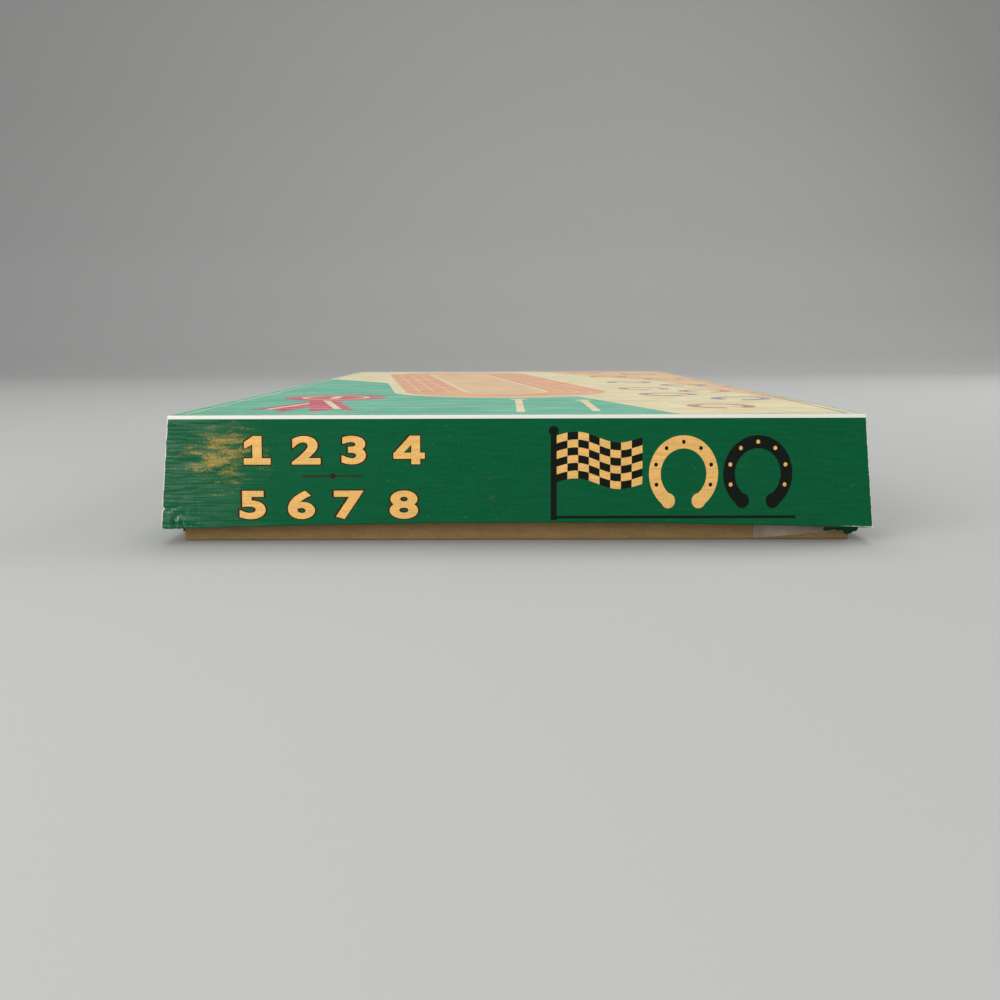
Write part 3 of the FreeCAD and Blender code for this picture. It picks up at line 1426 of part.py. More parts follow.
def write_files():
    """Checks every object and writes one STEP file for each sub-part."""
    doc.recompute()
    for made in doc.Objects:
        if "Invalid" in made.State or "Error" in made.State:
            raise RuntimeError(f"{made.Label} failed: {made.State}")
    os.makedirs("parts", exist_ok=True)
    for made in sub_parts:
        shape = made.Shape
        if shape.isNull() or not shape.isValid() or not shape.Solids:
            raise RuntimeError(f"{made.Label} has no valid solid")
        shape.exportStep(os.path.join("parts", f"{made.Label}.step"))
    print(f"{len(sub_parts)} sub-parts written")


make_tray()
make_glue_flaps()
make_lid()
make_battens()
make_deck_mounts()
make_track_deck()
make_lane_rails()
make_well("counter_well", -1, True)
make_well("card_well", 1, False)
make_counters()
make_papers()
make_gears()
make_shafts()
make_flyweight()
make_bushes()
make_gear_plate()
make_crank_arm()
make_crank_fittings()
make_start_gate()
make_horses()
make_finish()
write_files()
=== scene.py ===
"""Dresses the boxed horse race game: paper, board, wood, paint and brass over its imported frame."""

import math

import bmesh
import bpy
from mathutils import Euler, Matrix, Vector, noise


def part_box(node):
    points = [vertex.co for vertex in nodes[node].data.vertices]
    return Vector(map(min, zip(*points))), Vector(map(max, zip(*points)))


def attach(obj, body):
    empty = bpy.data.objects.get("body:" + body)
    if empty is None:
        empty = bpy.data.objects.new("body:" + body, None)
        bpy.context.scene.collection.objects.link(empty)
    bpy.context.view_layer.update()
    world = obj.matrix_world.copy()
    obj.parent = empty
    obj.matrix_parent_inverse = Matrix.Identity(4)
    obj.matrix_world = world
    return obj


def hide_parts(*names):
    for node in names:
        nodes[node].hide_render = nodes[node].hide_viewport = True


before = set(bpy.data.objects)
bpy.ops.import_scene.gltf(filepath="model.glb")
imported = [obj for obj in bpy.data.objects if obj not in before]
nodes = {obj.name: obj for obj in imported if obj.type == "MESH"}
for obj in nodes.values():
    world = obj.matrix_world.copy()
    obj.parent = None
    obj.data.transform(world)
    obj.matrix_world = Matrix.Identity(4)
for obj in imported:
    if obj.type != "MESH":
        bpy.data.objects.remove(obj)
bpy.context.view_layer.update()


# The view: the box is seen end on, from just above the level of its lid.
# The camera stands 38 cm from the printed end wall, with the far end in the distance.
camera = bpy.data.objects.new("view", bpy.data.cameras.new("view"))
bpy.context.scene.collection.objects.link(camera)
bpy.context.scene.camera = camera
bpy.context.scene.view_settings.view_transform = "Standard"
camera.data.sensor_width = 36.0
camera.data.lens = 37.62
camera.data.clip_start = 0.01
camera.data.clip_end = 20.0
camera.location = (-0.00365, -0.634, 0.0742)
look_down = math.radians(90.0 - 8.766)
camera.rotation_euler = (
    Euler((look_down, 0.0, 0.006)).to_matrix() @ Matrix.Rotation(-0.003, 3, "Z")
).to_euler()


# The studio: a pale paper sweep, a wide lamp in front and to the left, one above the lid,
# one at the right, and a pale surround that shows as a soft gloss in the wrap.
# Matt paper gives the backdrop its even, unshiny fall of light. Colours are in sRGB.
def colour(code):
    """Turns an sRGB hex code into linear red, green, blue and alpha."""
    parts = [int(code[i : i + 2], 16) / 255 for i in (1, 3, 5)]
    linear = [p / 12.92 if p <= 0.04045 else ((p + 0.055) / 1.055) ** 2.4 for p in parts]
    return (*linear, 1.0)


def fit(node, *ordered, **named):
    """Sets sockets, in order or by name, to a value or to what another node gives."""
    pairs = [*enumerate(ordered), *((k.replace("_", " "), v) for k, v in named.items())]
    for socket, value in pairs:
        if isinstance(value, bpy.types.Node):
            value = next(s for s in value.outputs if s.enabled)
        if isinstance(value, bpy.types.NodeSocket):
            node.id_data.links.new(value, node.inputs[socket])
        else:
            node.inputs[socket].default_value = value


def new_finish(name, **values):
    """A material whose shader's own sockets hold the constant values."""
    material = bpy.data.materials.new(name)
    material.use_nodes = True
    shader = material.node_tree.nodes["Principled BSDF"]
    fit(shader, **values)
    return material, shader


def verts_of(geometry):
    """The vertices among what a mesh operation has made."""
    return [g for g in geometry if isinstance(g, bmesh.types.BMVert)]


sweep_paper, _ = new_finish("backdrop paper", Roughness=0.9, Base_Color=colour("#b9b9b7"))
bm = bmesh.new()
profile = [(-6.0, 0.0), (1.6, 0.0), (1.9, 0.03), (2.15, 0.14), (2.3, 0.35), (2.35, 0.7), (2.35, 2.8)]
points = [bm.verts.new((-6.0, y, z)) for y, z in profile]
edges = [bm.edges.new(pair) for pair in zip(points, points[1:])]
across = bmesh.ops.extrude_edge_only(bm, edges=edges)["geom"]
bmesh.ops.translate(bm, verts=verts_of(across), vec=(12.0, 0, 0))
bmesh.ops.recalc_face_normals(bm, faces=bm.faces)
sweep_mesh = bpy.data.meshes.new("sweep")
bm.to_mesh(sweep_mesh)
bm.free()
sweep_mesh.materials.append(sweep_paper)
for face in sweep_mesh.polygons:
    face.use_smooth = True
sweep = bpy.data.objects.new("sweep", sweep_mesh)
bpy.context.scene.collection.objects.link(sweep)

for name, place, aim, size, power in (
    ("front_lamp", (-0.72, -1.0, 0.45), (0.0, -0.25, 0.02), 0.8, 8.2),
    ("top_lamp", (0.1, 0.5, 1.9), (0.0, 0.0, 0.0), 1.5, 18.0),
    ("side_lamp", (1.8, 0.6, 0.9), (0.0, 0.0, 0.02), 1.2, 18.0),
):
    lamp = bpy.data.lights.new(name, "AREA")
    lamp.energy = power
    lamp.size = size
    holder = bpy.data.objects.new(name, lamp)
    holder.visible_camera = False
    holder.visible_glossy = name != "side_lamp"
    holder.location = place
    holder.rotation_euler = (Vector(aim) - Vector(place)).to_track_quat("-Z", "Y").to_euler()
    bpy.context.scene.collection.objects.link(holder)

world = bpy.data.worlds.new("studio")
bpy.context.scene.world = world
world.use_nodes = True
surround = world.node_tree.nodes["Background"]
fit(surround, Color=colour("#f4f5f7"), Strength=0.45)


# Tray: one blank of unprinted tan chipboard, scored and folded up, with soft corners.
# Pressed wood fibres give it short flecks and faint streaks along the board.
MM = 0.001
TRAY_BOARD = 1.5 * MM


def add_node(material, kind, *ordered, **named):
    """Adds one node. Lower case names are its settings and the others its sockets."""
    node = material.node_tree.nodes.new("ShaderNode" + kind)
    for setting in [name for name in named if name.islower()]:
        setattr(node, setting, named.pop(setting))
    fit(node, *ordered, **named)
    return node


def add_block(builder, low, high):
    """A box between two corners."""
    block = bmesh.ops.create_cube(builder, size=1.0)["verts"]
    bmesh.ops.scale(builder, verts=block, vec=high - low)
    bmesh.ops.translate(builder, verts=block, vec=(low + high) / 2)
    return block


def ease_edges(builder, edges, width, segments):
    """Rounds edges off by a width, in a number of steps."""
    bmesh.ops.bevel(
        builder,
        geom=edges,
        offset=width,
        segments=segments,
        profile=0.5,
        affect="EDGES",
        material=-1,
        clamp_overlap=True,
    )


def new_piece(name, builder, materials, body):
    """Makes an object at the origin from a finished bmesh and lets it ride on a body."""
    mesh = bpy.data.meshes.new(name)
    builder.to_mesh(mesh)
    builder.free()
    for material in materials:
        mesh.materials.append(material)
    piece = bpy.data.objects.new(name, mesh)
    bpy.context.scene.collection.objects.link(piece)
    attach(piece, body)
    return piece


def make_chipboard(name, base, pale, dark):
    """Bare board in one tone, with streaks along it, darker flecks and a little soiling."""
    material, shader = new_finish(name, Roughness=0.86)
    place = add_node(material, "TexCoord").outputs["Object"]
    streak_map = add_node(material, "Mapping", Vector=place, Scale=(130.0, 130.0, 620.0))
    streaks = add_node(
        material, "TexNoise", Vector=streak_map, Scale=1.0, Detail=4.0, Roughness=0.6
    )
    fibres = add_node(material, "TexNoise", Vector=place, Scale=1400.0, Detail=3.0, Roughness=0.65)
    blotches = add_node(material, "TexNoise", Vector=place, Scale=45.0, Detail=3.0)
    tone = add_node(material, "ValToRGB", Fac=streaks)
    for stop, at, code in zip(tone.color_ramp.elements, (0.32, 0.68), (dark, pale)):
        stop.position, stop.color = at, colour(code)
    flecked = add_node(material, "Mix", Factor=0.72, A=tone, B=colour(base), data_type="RGBA")
    fleck_strength = add_node(
        material, "MapRange", Value=fibres, From_Min=0.55, From_Max=0.7, To_Max=0.6
    )
    with_flecks = add_node(
        material, "Mix", Factor=fleck_strength, A=flecked, B=colour(dark), data_type="RGBA"
    )
    soil = add_node(material, "MapRange", Value=blotches, From_Min=0.5, From_Max=0.75, To_Max=0.25)
    soiled = add_node(material, "Mix", Factor=soil, A=with_flecks, B=colour(dark), data_type="RGBA")
    relief = add_node(material, "Bump", Height=fibres, Strength=0.5, Distance=0.0001)
    fit(shader, Base_Color=soiled, Normal=relief)
    return material


tray_board = make_chipboard("tan chipboard", "#957749", "#aa8c5c", "#715632")
low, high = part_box("box_tray")
bm = bmesh.new()
add_block(bm, low, high)
lid_side = [f for f in bm.faces if f.normal.z > 0.9]
bmesh.ops.delete(bm, geom=lid_side, context="FACES_ONLY")
corner_edges = [e for e in bm.edges if not e.is_boundary]
ease_edges(bm, corner_edges, 0.9 * MM, 4)
bmesh.ops.recalc_face_normals(bm, faces=bm.faces)
tray = new_piece("tray_shell", bm, [tray_board], "box")
wall = tray.modifiers.new("board", "SOLIDIFY")
wall.thickness = TRAY_BOARD
wall.offset = -1.0
wall.use_even_offset = True
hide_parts("box_tray")


# Corner flaps: thin pinkish grey paper, glued over the tray's folded corners.
# Old glue has wrinkled it a little and left it duller than the board.
flap_paper, shader = new_finish("grey flap paper", Roughness=0.8)
place = add_node(flap_paper, "TexCoord").outputs["Object"]
mottle = add_node(flap_paper, "TexNoise", Vector=place, Scale=90.0, Detail=5.0, Roughness=0.6)
shade = add_node(flap_paper, "ValToRGB", Fac=mottle)
for stop, at, code in zip(shade.color_ramp.elements, (0.35, 0.7), ("#8f7f6e", "#b3a28f")):
    stop.position, stop.color = at, colour(code)
wrinkles = add_node(flap_paper, "Bump", Height=mottle, Strength=0.6, Distance=0.0004)
fit(shader, Base_Color=shade, Normal=wrinkles)


def finish_nodes(material, *names):
    """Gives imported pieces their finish."""
    for name in names:
        nodes[name].data.materials.clear()
        nodes[name].data.materials.append(material)


finish_nodes(flap_paper, "tray_glue_flaps")


# Batten frame: five planed softwood strips glued to the tray's floor.
# The grain runs along each strip, with darker late wood every couple of millimetres.
GROWTH_RING = 2.2 * MM


def make_softwood(name, grain_along):
    """Planed wood with darker late wood in lines along one axis."""
    material, shader = new_finish(name, Roughness=0.62)
    place = add_node(material, "TexCoord").outputs["Object"]
    across = 1.0 / GROWTH_RING
    lay = add_node(
        material,
        "Mapping",
        Vector=place,
        Scale=(across, 6.0, across) if grain_along == "Y" else (6.0, across, across),
    )
    rings = add_node(
        material,
        "TexWave",
        Vector=lay,
        Scale=0.32,
        Distortion=3.5,
        Detail=2.0,
        Detail_Scale=0.6,
        bands_direction="DIAGONAL",
    )
    tone = add_node(material, "ValToRGB", Fac=rings.outputs["Fac"])
    tone.color_ramp.elements[0].color = colour("#dcbd8b")
    tone.color_ramp.elements[1].color = colour("#b98c55")
    relief = add_node(material, "Bump", Height=rings.outputs["Fac"], Strength=0.4, Distance=0.0001)
    fit(shader, Base_Color=tone, Normal=relief)
    return material


long_softwood = make_softwood("planed softwood, grain along", "Y")
cross_softwood = make_softwood("planed softwood, grain across", "X")
finish_nodes(long_softwood, "side_batten_left", "side_batten_right")
finish_nodes(cross_softwood, "cross_battens")


# Rubber buffers and deck screws: moulded black rubber grommets, bloomed with age,
# each held by a zinc plated screw driven into the side battens.
def worked_finish(name, ink, grain_mm, spread, relief_mm=0.0, stretch=(1, 1, 1), **values):
    """A finish whose tone varies by a share of itself over grains of one size."""
    material, shader = new_finish(name, **values)
    place = add_node(material, "TexCoord").outputs["Object"]
    lay = add_node(material, "Mapping", Vector=place, Scale=[s / (grain_mm * MM) for s in stretch])
    grain = add_node(material, "TexNoise", Vector=lay, Scale=1.0, Detail=4.0, Roughness=0.62)
    depth = add_node(
        material,
        "MapRange",
        Value=grain,
        From_Min=0.3,
        From_Max=0.7,
        To_Min=1.0 - spread,
        To_Max=1.0 + spread,
    )
    tone = add_node(material, "HueSaturation", Value=depth, Color=colour(ink))
    fit(shader, Base_Color=tone)
    if relief_mm:
        relief = add_node(material, "Bump", Height=grain, Strength=0.7, Distance=relief_mm * MM)
        fit(shader, Normal=relief)
    return material


buffer_rubber = worked_finish(
    "moulded black rubber", "#2b2b2a", 0.7, 0.25, relief_mm=0.03, Roughness=0.72
)
zinc_steel = worked_finish(
    "zinc plated steel", "#b9bcb8", 1.5, 0.1, relief_mm=0.01, Metallic=1.0, Roughness=0.36
)
finish_nodes(buffer_rubber, "rubber_buffers")
finish_nodes(zinc_steel, "deck_screws")


# Track deck: hardboard, brown and slick at its edges and underside. Its top is printed
# as mown turf, in bands 24 mm wide, under a thin varnish.
MOWN_BAND = 24.0 * MM

track_print, shader = new_finish("varnished turf print on hardboard", Roughness=0.38)
place = add_node(track_print, "TexCoord").outputs["Object"]
axes = add_node(track_print, "SeparateXYZ", Vector=place)
blades = add_node(track_print, "TexNoise", Vector=place, Scale=900.0, Detail=4.0, Roughness=0.7)
wear_patches = add_node(track_print, "TexNoise", Vector=place, Scale=60.0, Detail=3.0)
along = add_node(track_print, "Math", axes.outputs["Y"], MOWN_BAND, operation="PINGPONG")
band = add_node(track_print, "Math", along, MOWN_BAND / 2, operation="GREATER_THAN")
mown = add_node(
    track_print, "Mix", Factor=band, A=colour("#2f7a45"), B=colour("#3f8f52"), data_type="RGBA"
)
blade_tone = add_node(
    track_print, "MapRange", Value=blades, From_Min=0.3, From_Max=0.7, To_Min=0.72, To_Max=1.22
)
turf = add_node(track_print, "HueSaturation", Value=blade_tone, Color=mown)
facing = add_node(track_print, "NewGeometry")
upward = add_node(track_print, "SeparateXYZ", Vector=facing.outputs["Normal"])
printed_side = add_node(track_print, "Math", upward.outputs["Z"], 0.9, operation="GREATER_THAN")
board_tone = add_node(
    track_print,
    "Mix",
    Factor=wear_patches,
    A=colour("#5d4027"),
    B=colour("#7a5735"),
    data_type="RGBA",
)
deck_face = add_node(
    track_print, "Mix", Factor=printed_side, A=board_tone, B=turf, data_type="RGBA"
)
varnish = add_node(track_print, "MapRange", Value=wear_patches, To_Min=0.28, To_Max=0.5)
fit(shader, Base_Color=deck_face, Roughness=varnish)
relief = add_node(track_print, "Bump", Height=blades, Strength=0.3, Distance=0.0001)
fit(shader, Normal=relief)
finish_nodes(track_print, "track_deck")


# Track lines: cream and black silkscreen ink over the turf. A start line, distance lines,
# lane numbers, a chequered finish, and a cream apron with a turning arrow at the crank.
DECK_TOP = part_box("track_deck")[1].z / MM
LANE_PITCH = 25.9625
TRACK_EDGE = 4 * LANE_PITCH
HORSE_NOSE = -120.85
FINISH_LINE = 204.85
CRANK_LINE = -202.85
INK_LIFT = 0.03
INK_STEP = 0.01


def faces_of(verts):
    """Every face that these vertices touch."""
    return list({f for v in verts for f in v.link_faces})


def paint(faces, ink):
    """Gives faces one of the piece's paints."""
    for face in faces:
        face.material_index = ink


def add_patch(builder, x, y, ink=0, layer=0):
    """One rectangle of ink between two places in x and two in y, in millimetres."""
    patch = bmesh.ops.create_grid(builder, x_segments=1, y_segments=1, size=0.5)["verts"]
    size = (x[1] - x[0], y[1] - y[0], 1.0)
    bmesh.ops.scale(builder, verts=patch, vec=size)
    middle = ((x[0] + x[1]) / 2, (y[0] + y[1]) / 2, layer * INK_STEP)
    bmesh.ops.translate(builder, verts=patch, vec=middle)
    paint(faces_of(patch), ink)
    return patch


def add_round(builder, centre, radius, ink=0, layer=0, segments=40):
    """One round dot of ink."""
    dot = bmesh.ops.create_circle(builder, cap_ends=True, segments=segments, radius=radius)["verts"]
    bmesh.ops.translate(builder, verts=dot, vec=(*centre, layer * INK_STEP))
    paint(faces_of(dot), ink)
    return dot


def add_outline(builder, outline, ink=0, layer=0):
    """One patch of ink inside a line of corners."""
    corners = [builder.verts.new((x, y, layer * INK_STEP)) for x, y in outline]
    builder.faces.new(corners).material_index = ink


def add_arc(builder, centre, radii, start, sweep, ink=0, layer=0, steps=40):
    """A curved band of ink between two radii, from one angle over a sweep, in degrees."""
    ends = [
        builder.verts.new(
            (
                centre[0] + r * math.cos(math.radians(start)),
                centre[1] + r * math.sin(math.radians(start)),
                layer * INK_STEP,
            )
        )
        for r in radii
    ]
    edge = builder.edges.new(ends)
    turned = bmesh.ops.spin(
        builder,
        geom=[*ends, edge],
        cent=(*centre, 0),
        axis=(0, 0, 1),
        angle=math.radians(sweep),
        steps=steps,
    )
    band = {f for v in ends for f in v.link_faces}
    frontier = set(band)
    while frontier:
        reached = {f for b in frontier for e in b.edges for f in e.link_faces} - band
        band |= reached
        frontier = reached
    paint(band, ink)
    return list({v for f in band for v in f.verts})


def add_numeral(builder, text, centre, height, weight, ink=0, layer=0, width=1.0):
    """A figure from the plain built-in alphabet, thickened by its weight."""
    curve = bpy.data.curves.new("figure", "FONT")
    curve.body = text
    curve.size = 1.0
    curve.offset = weight / height * 0.72
    curve.align_x = "CENTER"
    curve.resolution_u = 6
    holder = bpy.data.objects.new("figure", curve)
    bpy.context.scene.collection.objects.link(holder)
    flat = bpy.data.meshes.new_from_object(holder)
    bpy.data.objects.remove(holder)
    known = set(builder.verts)
    known_faces = set(builder.faces)
    builder.from_mesh(flat)
    bpy.data.meshes.remove(flat)
    fresh = [v for v in builder.verts if v not in known]
    paint([f for f in builder.faces if f not in known_faces], ink)
    low_y = min(v.co.y for v in fresh)
    high_y = max(v.co.y for v in fresh)
    low_x = min(v.co.x for v in fresh)
    high_x = max(v.co.x for v in fresh)
    middle = ((low_x + high_x) / 2, (low_y + high_y) / 2, 0)
    bmesh.ops.translate(builder, verts=fresh, vec=[-m for m in middle])
    grow = (height + 2 * weight) / (high_y - low_y)
    bmesh.ops.scale(builder, verts=fresh, vec=(grow * width, grow, 1.0))
    bmesh.ops.translate(builder, verts=fresh, vec=(*centre, layer * INK_STEP))
    return fresh


def lay_ink(name, builder, where, inks, body):
    """Shrinks a drawing from millimetres, turns it upright and lays it on its surface."""
    for face in builder.faces:
        face.normal_update()
        if face.normal.z < 0:
            face.normal_flip()
    bmesh.ops.scale(builder, verts=builder.verts, vec=(MM, MM, MM))
    bmesh.ops.transform(builder, verts=builder.verts, matrix=where)
    piece = new_piece(name, builder, inks, body)
    return piece


cream_ink = worked_finish("cream silkscreen ink", "#ece0bd", 0.8, 0.07, Roughness=0.45)
black_ink = worked_finish("black silkscreen ink", "#1d1f1e", 0.8, 0.2, Roughness=0.42)
red_ink = worked_finish("brick red silkscreen ink", "#a5352b", 0.8, 0.12, Roughness=0.45)
bm = bmesh.new()
add_patch(bm, (-TRACK_EDGE, TRACK_EDGE), (HORSE_NOSE + 1.2, HORSE_NOSE + 2.8))
for share in (0.25, 0.5, 0.75):
    line = HORSE_NOSE + share * (FINISH_LINE - HORSE_NOSE)
    add_patch(bm, (-TRACK_EDGE, TRACK_EDGE), (line - 0.3, line + 0.3))
for lane in range(8):
    middle = (lane - 3.5) * LANE_PITCH
    add_round(bm, (middle, -84.0), 8.6)
    add_numeral(bm, str(lane + 1), (middle, -84.0), 10.5, 0.45, ink=1, layer=1)
for row in range(4):
    for column in range(64):
        x = -TRACK_EDGE + column * LANE_PITCH / 8
        y = FINISH_LINE + (row - 2) * LANE_PITCH / 8
        add_patch(bm, (x, x + LANE_PITCH / 8), (y, y + LANE_PITCH / 8), ink=(row + column) % 2)
apron = add_patch(bm, (-47.5, 47.5), (-243.0, -158.5))
bmesh.ops.inset_individual(bm, faces=faces_of(apron), thickness=1.2)
for face in bm.faces:
    if abs(face.calc_center_median().x) > 46.3 and face.calc_center_median().y < -159:
        face.material_index = 2
ARROW_REACH, ARROW_END = 37.2, 302.0
add_arc(bm, (0, CRANK_LINE), (ARROW_REACH - 0.7, ARROW_REACH + 0.7), 220.0, 82.0, ink=2, layer=1)
arrow_turn = math.radians(ARROW_END)
arrow_head = []
for along, out in ((0.0, -3.2), (7.0, -0.3), (0.0, 3.2)):
    x = (ARROW_REACH + out) * math.cos(arrow_turn) - along * math.sin(arrow_turn)
    y = (ARROW_REACH + out) * math.sin(arrow_turn) + along * math.cos(arrow_turn)
    arrow_head.append((x, CRANK_LINE + y))
add_outline(bm, arrow_head, ink=2, layer=1)
for screw_x in (-36.0, 36.0):
    add_arc(bm, (screw_x, -222.85), (3.6, 4.4), 0.0, 360.0, ink=1, layer=2, steps=24)
add_arc(bm, (0, CRANK_LINE), (10.0, 11.0), 0.0, 360.0, ink=2, layer=2, steps=40)
lay_ink(
    "track_lines",
    bm,
    Matrix.Translation((0, 0, (DECK_TOP + INK_LIFT) * MM)),
    [cream_ink, black_ink, red_ink],
    "deck",
)


# Lane rails and stop bar: planed strips, enamelled white, glued to the deck. Their edges
# are eased, and the stop bar's face is covered with red felt where the horses arrive.
white_enamel = worked_finish(
    "brushed white enamel on wood",
    "#e9e6dc",
    1.2,
    0.05,
    relief_mm=0.03,
    stretch=(1.0, 0.1, 1.0),
    Roughness=0.4,
)
felt = worked_finish("red wool felt", "#8e2620", 0.25, 0.3, relief_mm=0.12, Roughness=0.95)
fit(felt.node_tree.nodes["Principled BSDF"], Sheen_Weight=0.5)


def add_bar(builder, low, high, ease, segments=3):
    """A straight strip between two corners, in metres, with eased edges."""
    bar = add_block(builder, low, high)
    edges = list({e for v in bar for e in v.link_edges})
    ease_edges(builder, edges, ease, segments)


low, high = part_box("lane_rails")
rail_width = 2.0 * MM
bm = bmesh.new()
for index in range(9):
    middle = low.x + rail_width / 2 + index * LANE_PITCH * MM
    add_bar(
        bm,
        Vector((middle - rail_width / 2, low.y, low.z)),
        Vector((middle + rail_width / 2, high.y, high.z)),
        0.45 * MM,
    )
rails = new_piece("white_rails", bm, [white_enamel], "deck")
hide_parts("lane_rails")

low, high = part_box("stop_bar")
bm = bmesh.new()
add_bar(bm, Vector((low.x, low.y + 0.9 * MM, low.z)), high, 0.6 * MM)
known = set(bm.faces)
add_bar(
    bm,
    Vector((low.x + 0.5 * MM, low.y, low.z + 0.3 * MM)),
    Vector((high.x - 0.5 * MM, low.y + 1.0 * MM, high.z - 0.5 * MM)),
    0.4 * MM,
)
paint([f for f in bm.faces if f not in known], 1)
stop = new_piece("felted_stop_bar", bm, [white_enamel, felt], "deck")
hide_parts("stop_bar")


# Winning posts: turned wooden posts with a round target, painted in red and white bands.
# A turned foot hides the peg that is glued into the deck.
POST_BAND = 7.8 * MM

post_paint, shader = new_finish("red and white banded paint", Roughness=0.35)
place = add_node(post_paint, "TexCoord").outputs["Object"]
axes = add_node(post_paint, "SeparateXYZ", Vector=place)
fold = add_node(post_paint, "Math", axes.outputs["Z"], POST_BAND / 2, operation="PINGPONG")
banded = add_node(post_paint, "Math", fold, POST_BAND / 4, operation="GREATER_THAN")
brush_marks = add_node(post_paint, "TexNoise", Vector=place, Scale=900.0, Detail=3.0)
bands = add_node(
    post_paint, "Mix", Factor=banded, A=colour("#ece8de"), B=colour("#b3271f"), data_type="RGBA"
)
brushed = add_node(post_paint, "MapRange", Value=brush_marks, To_Min=0.85, To_Max=1.12)
tone = add_node(post_paint, "HueSaturation", Value=brushed, Color=bands)
fit(shader, Base_Color=tone)
red_enamel = worked_finish("brushed red enamel", "#b3271f", 1.0, 0.10, relief_mm=0.02, Roughness=0.3)


def lathe(builder, profile, centre, steps=40):
    """Turns a profile of (radius, level) points, in millimetres, about an upright axis."""
    known = set(builder.verts)
    rim = [
        builder.verts.new(((centre[0] + r) * MM, centre[1] * MM, z * MM)) for r, z in profile
    ]
    outline = [builder.edges.new(pair) for pair in zip(rim, rim[1:])]
    bmesh.ops.spin(
        builder,
        geom=rim + outline,
        cent=(centre[0] * MM, centre[1] * MM, 0),
        axis=(0, 0, 1),
        angle=2 * math.pi,
        steps=steps,
        use_merge=True,
    )
    made = [v for v in builder.verts if v not in known]
    bmesh.ops.remove_doubles(builder, verts=made, dist=0.001 * MM)
    made = [v for v in builder.verts if v not in known]
    faces = faces_of(made)
    bmesh.ops.recalc_face_normals(builder, faces=faces)
    for face in faces:
        face.smooth = True
    return faces


for label in ("winning_post_left", "winning_post_right"):
    low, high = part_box(label)
    post_x = (low.x + high.x) / 2 / MM
    disc_z = high.z / MM - 5.5
    bm = bmesh.new()
    lathe(
        bm,
        [
            (0.0, 14.0), (1.45, 14.0), (1.5, 16.0), (3.3, 16.0), (3.6, 16.3), (3.5, 17.0),
            (2.9, 17.5), (2.1, 17.9), (1.95, 18.6), (1.9, 30.5), (2.3, 31.2), (1.9, 32.0),
            (0.0, 32.4),
        ],
        (post_x, FINISH_LINE),
    )
    disc = bmesh.ops.create_cone(
        bm, cap_ends=True, segments=48, radius1=5.5 * MM, radius2=5.5 * MM, depth=1.6 * MM
    )["verts"]
    bmesh.ops.rotate(bm, verts=disc, cent=(0, 0, 0), matrix=Matrix.Rotation(math.pi / 2, 3, "X"))
    bmesh.ops.translate(bm, verts=disc, vec=(post_x * MM, FINISH_LINE * MM, disc_z * MM))
    caps = [f for f in faces_of(disc) if len(f.verts) > 4]
    paint(faces_of(disc), 1)
    rims = list({e for f in caps for e in f.edges})
    ease_edges(bm, rims, 0.3 * MM, 2)
    caps = [f for f in bm.faces if len(f.verts) > 40 and f.material_index == 1]
    for thickness, ink in ((1.0, 1), (1.5, 2), (1.2, 1)):
        rings = bmesh.ops.inset_individual(bm, faces=caps, thickness=thickness * MM)["faces"]
        paint(rings, ink)
    post = new_piece(f"{label}_turned", bm, [post_paint, red_enamel, white_enamel], "deck")
    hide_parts(label)


# Wells: green paper-covered card cups, dropped into the deck, with a lip round the top.
well_card = worked_finish(
    "green paper-covered card", "#24503a", 0.5, 0.18, relief_mm=0.04, Roughness=0.7
)
finish_nodes(well_card, "counter_well", "card_well")


# Betting counters: turned beech discs, stained red or blue and waxed. Eighteen of each
# stand on edge in their row, each with a shallow turned recess on both faces.
COUNTER_THICKNESS = 3.0
COUNTER_GAP = 0.15

for row, stain in (("red_counters", "#a82a24"), ("blue_counters", "#2b4a86")):
    wood = worked_finish(
        f"{row.split('_')[0]} stained beech",
        stain,
        1.1,
        0.22,
        relief_mm=0.03,
        stretch=(1.0, 1.0, 0.12),
        Roughness=0.42,
    )
    low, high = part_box(row)
    radius = (high.x - low.x) / 2
    bm = bmesh.new()
    bmesh.ops.create_cone(
        bm, cap_ends=True, segments=36, radius1=radius, radius2=radius, depth=COUNTER_THICKNESS * MM
    )
    caps = [f for f in bm.faces if len(f.verts) > 4]
    ease_edges(bm, list({e for f in caps for e in f.edges}), 0.4 * MM, 2)
    caps = [f for f in bm.faces if len(f.verts) > 4]
    bmesh.ops.inset_individual(bm, faces=caps, thickness=2.0 * MM)
    caps = [f for f in bm.faces if len(f.verts) > 4]
    bmesh.ops.inset_individual(bm, faces=caps, thickness=0.5 * MM, depth=-0.4 * MM)
    bmesh.ops.rotate(
        bm, verts=bm.verts, cent=(0, 0, 0), matrix=Matrix.Rotation(math.pi / 2, 3, "X")
    )
    first = Vector(((low.x + high.x) / 2, low.y + COUNTER_THICKNESS / 2 * MM, low.z + radius))
    bmesh.ops.translate(bm, verts=bm.verts, vec=first)
    pattern = bm.verts[:] + bm.edges[:] + bm.faces[:]
    for index in range(1, 18):
        copy = bmesh.ops.duplicate(bm, geom=pattern)["geom"]
        shift = (0, index * (COUNTER_THICKNESS + COUNTER_GAP) * MM, 0)
        bmesh.ops.translate(bm, verts=verts_of(copy), vec=shift)
    counters = new_piece(f"{row}_turned", bm, [wood], "deck")
    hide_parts(row)


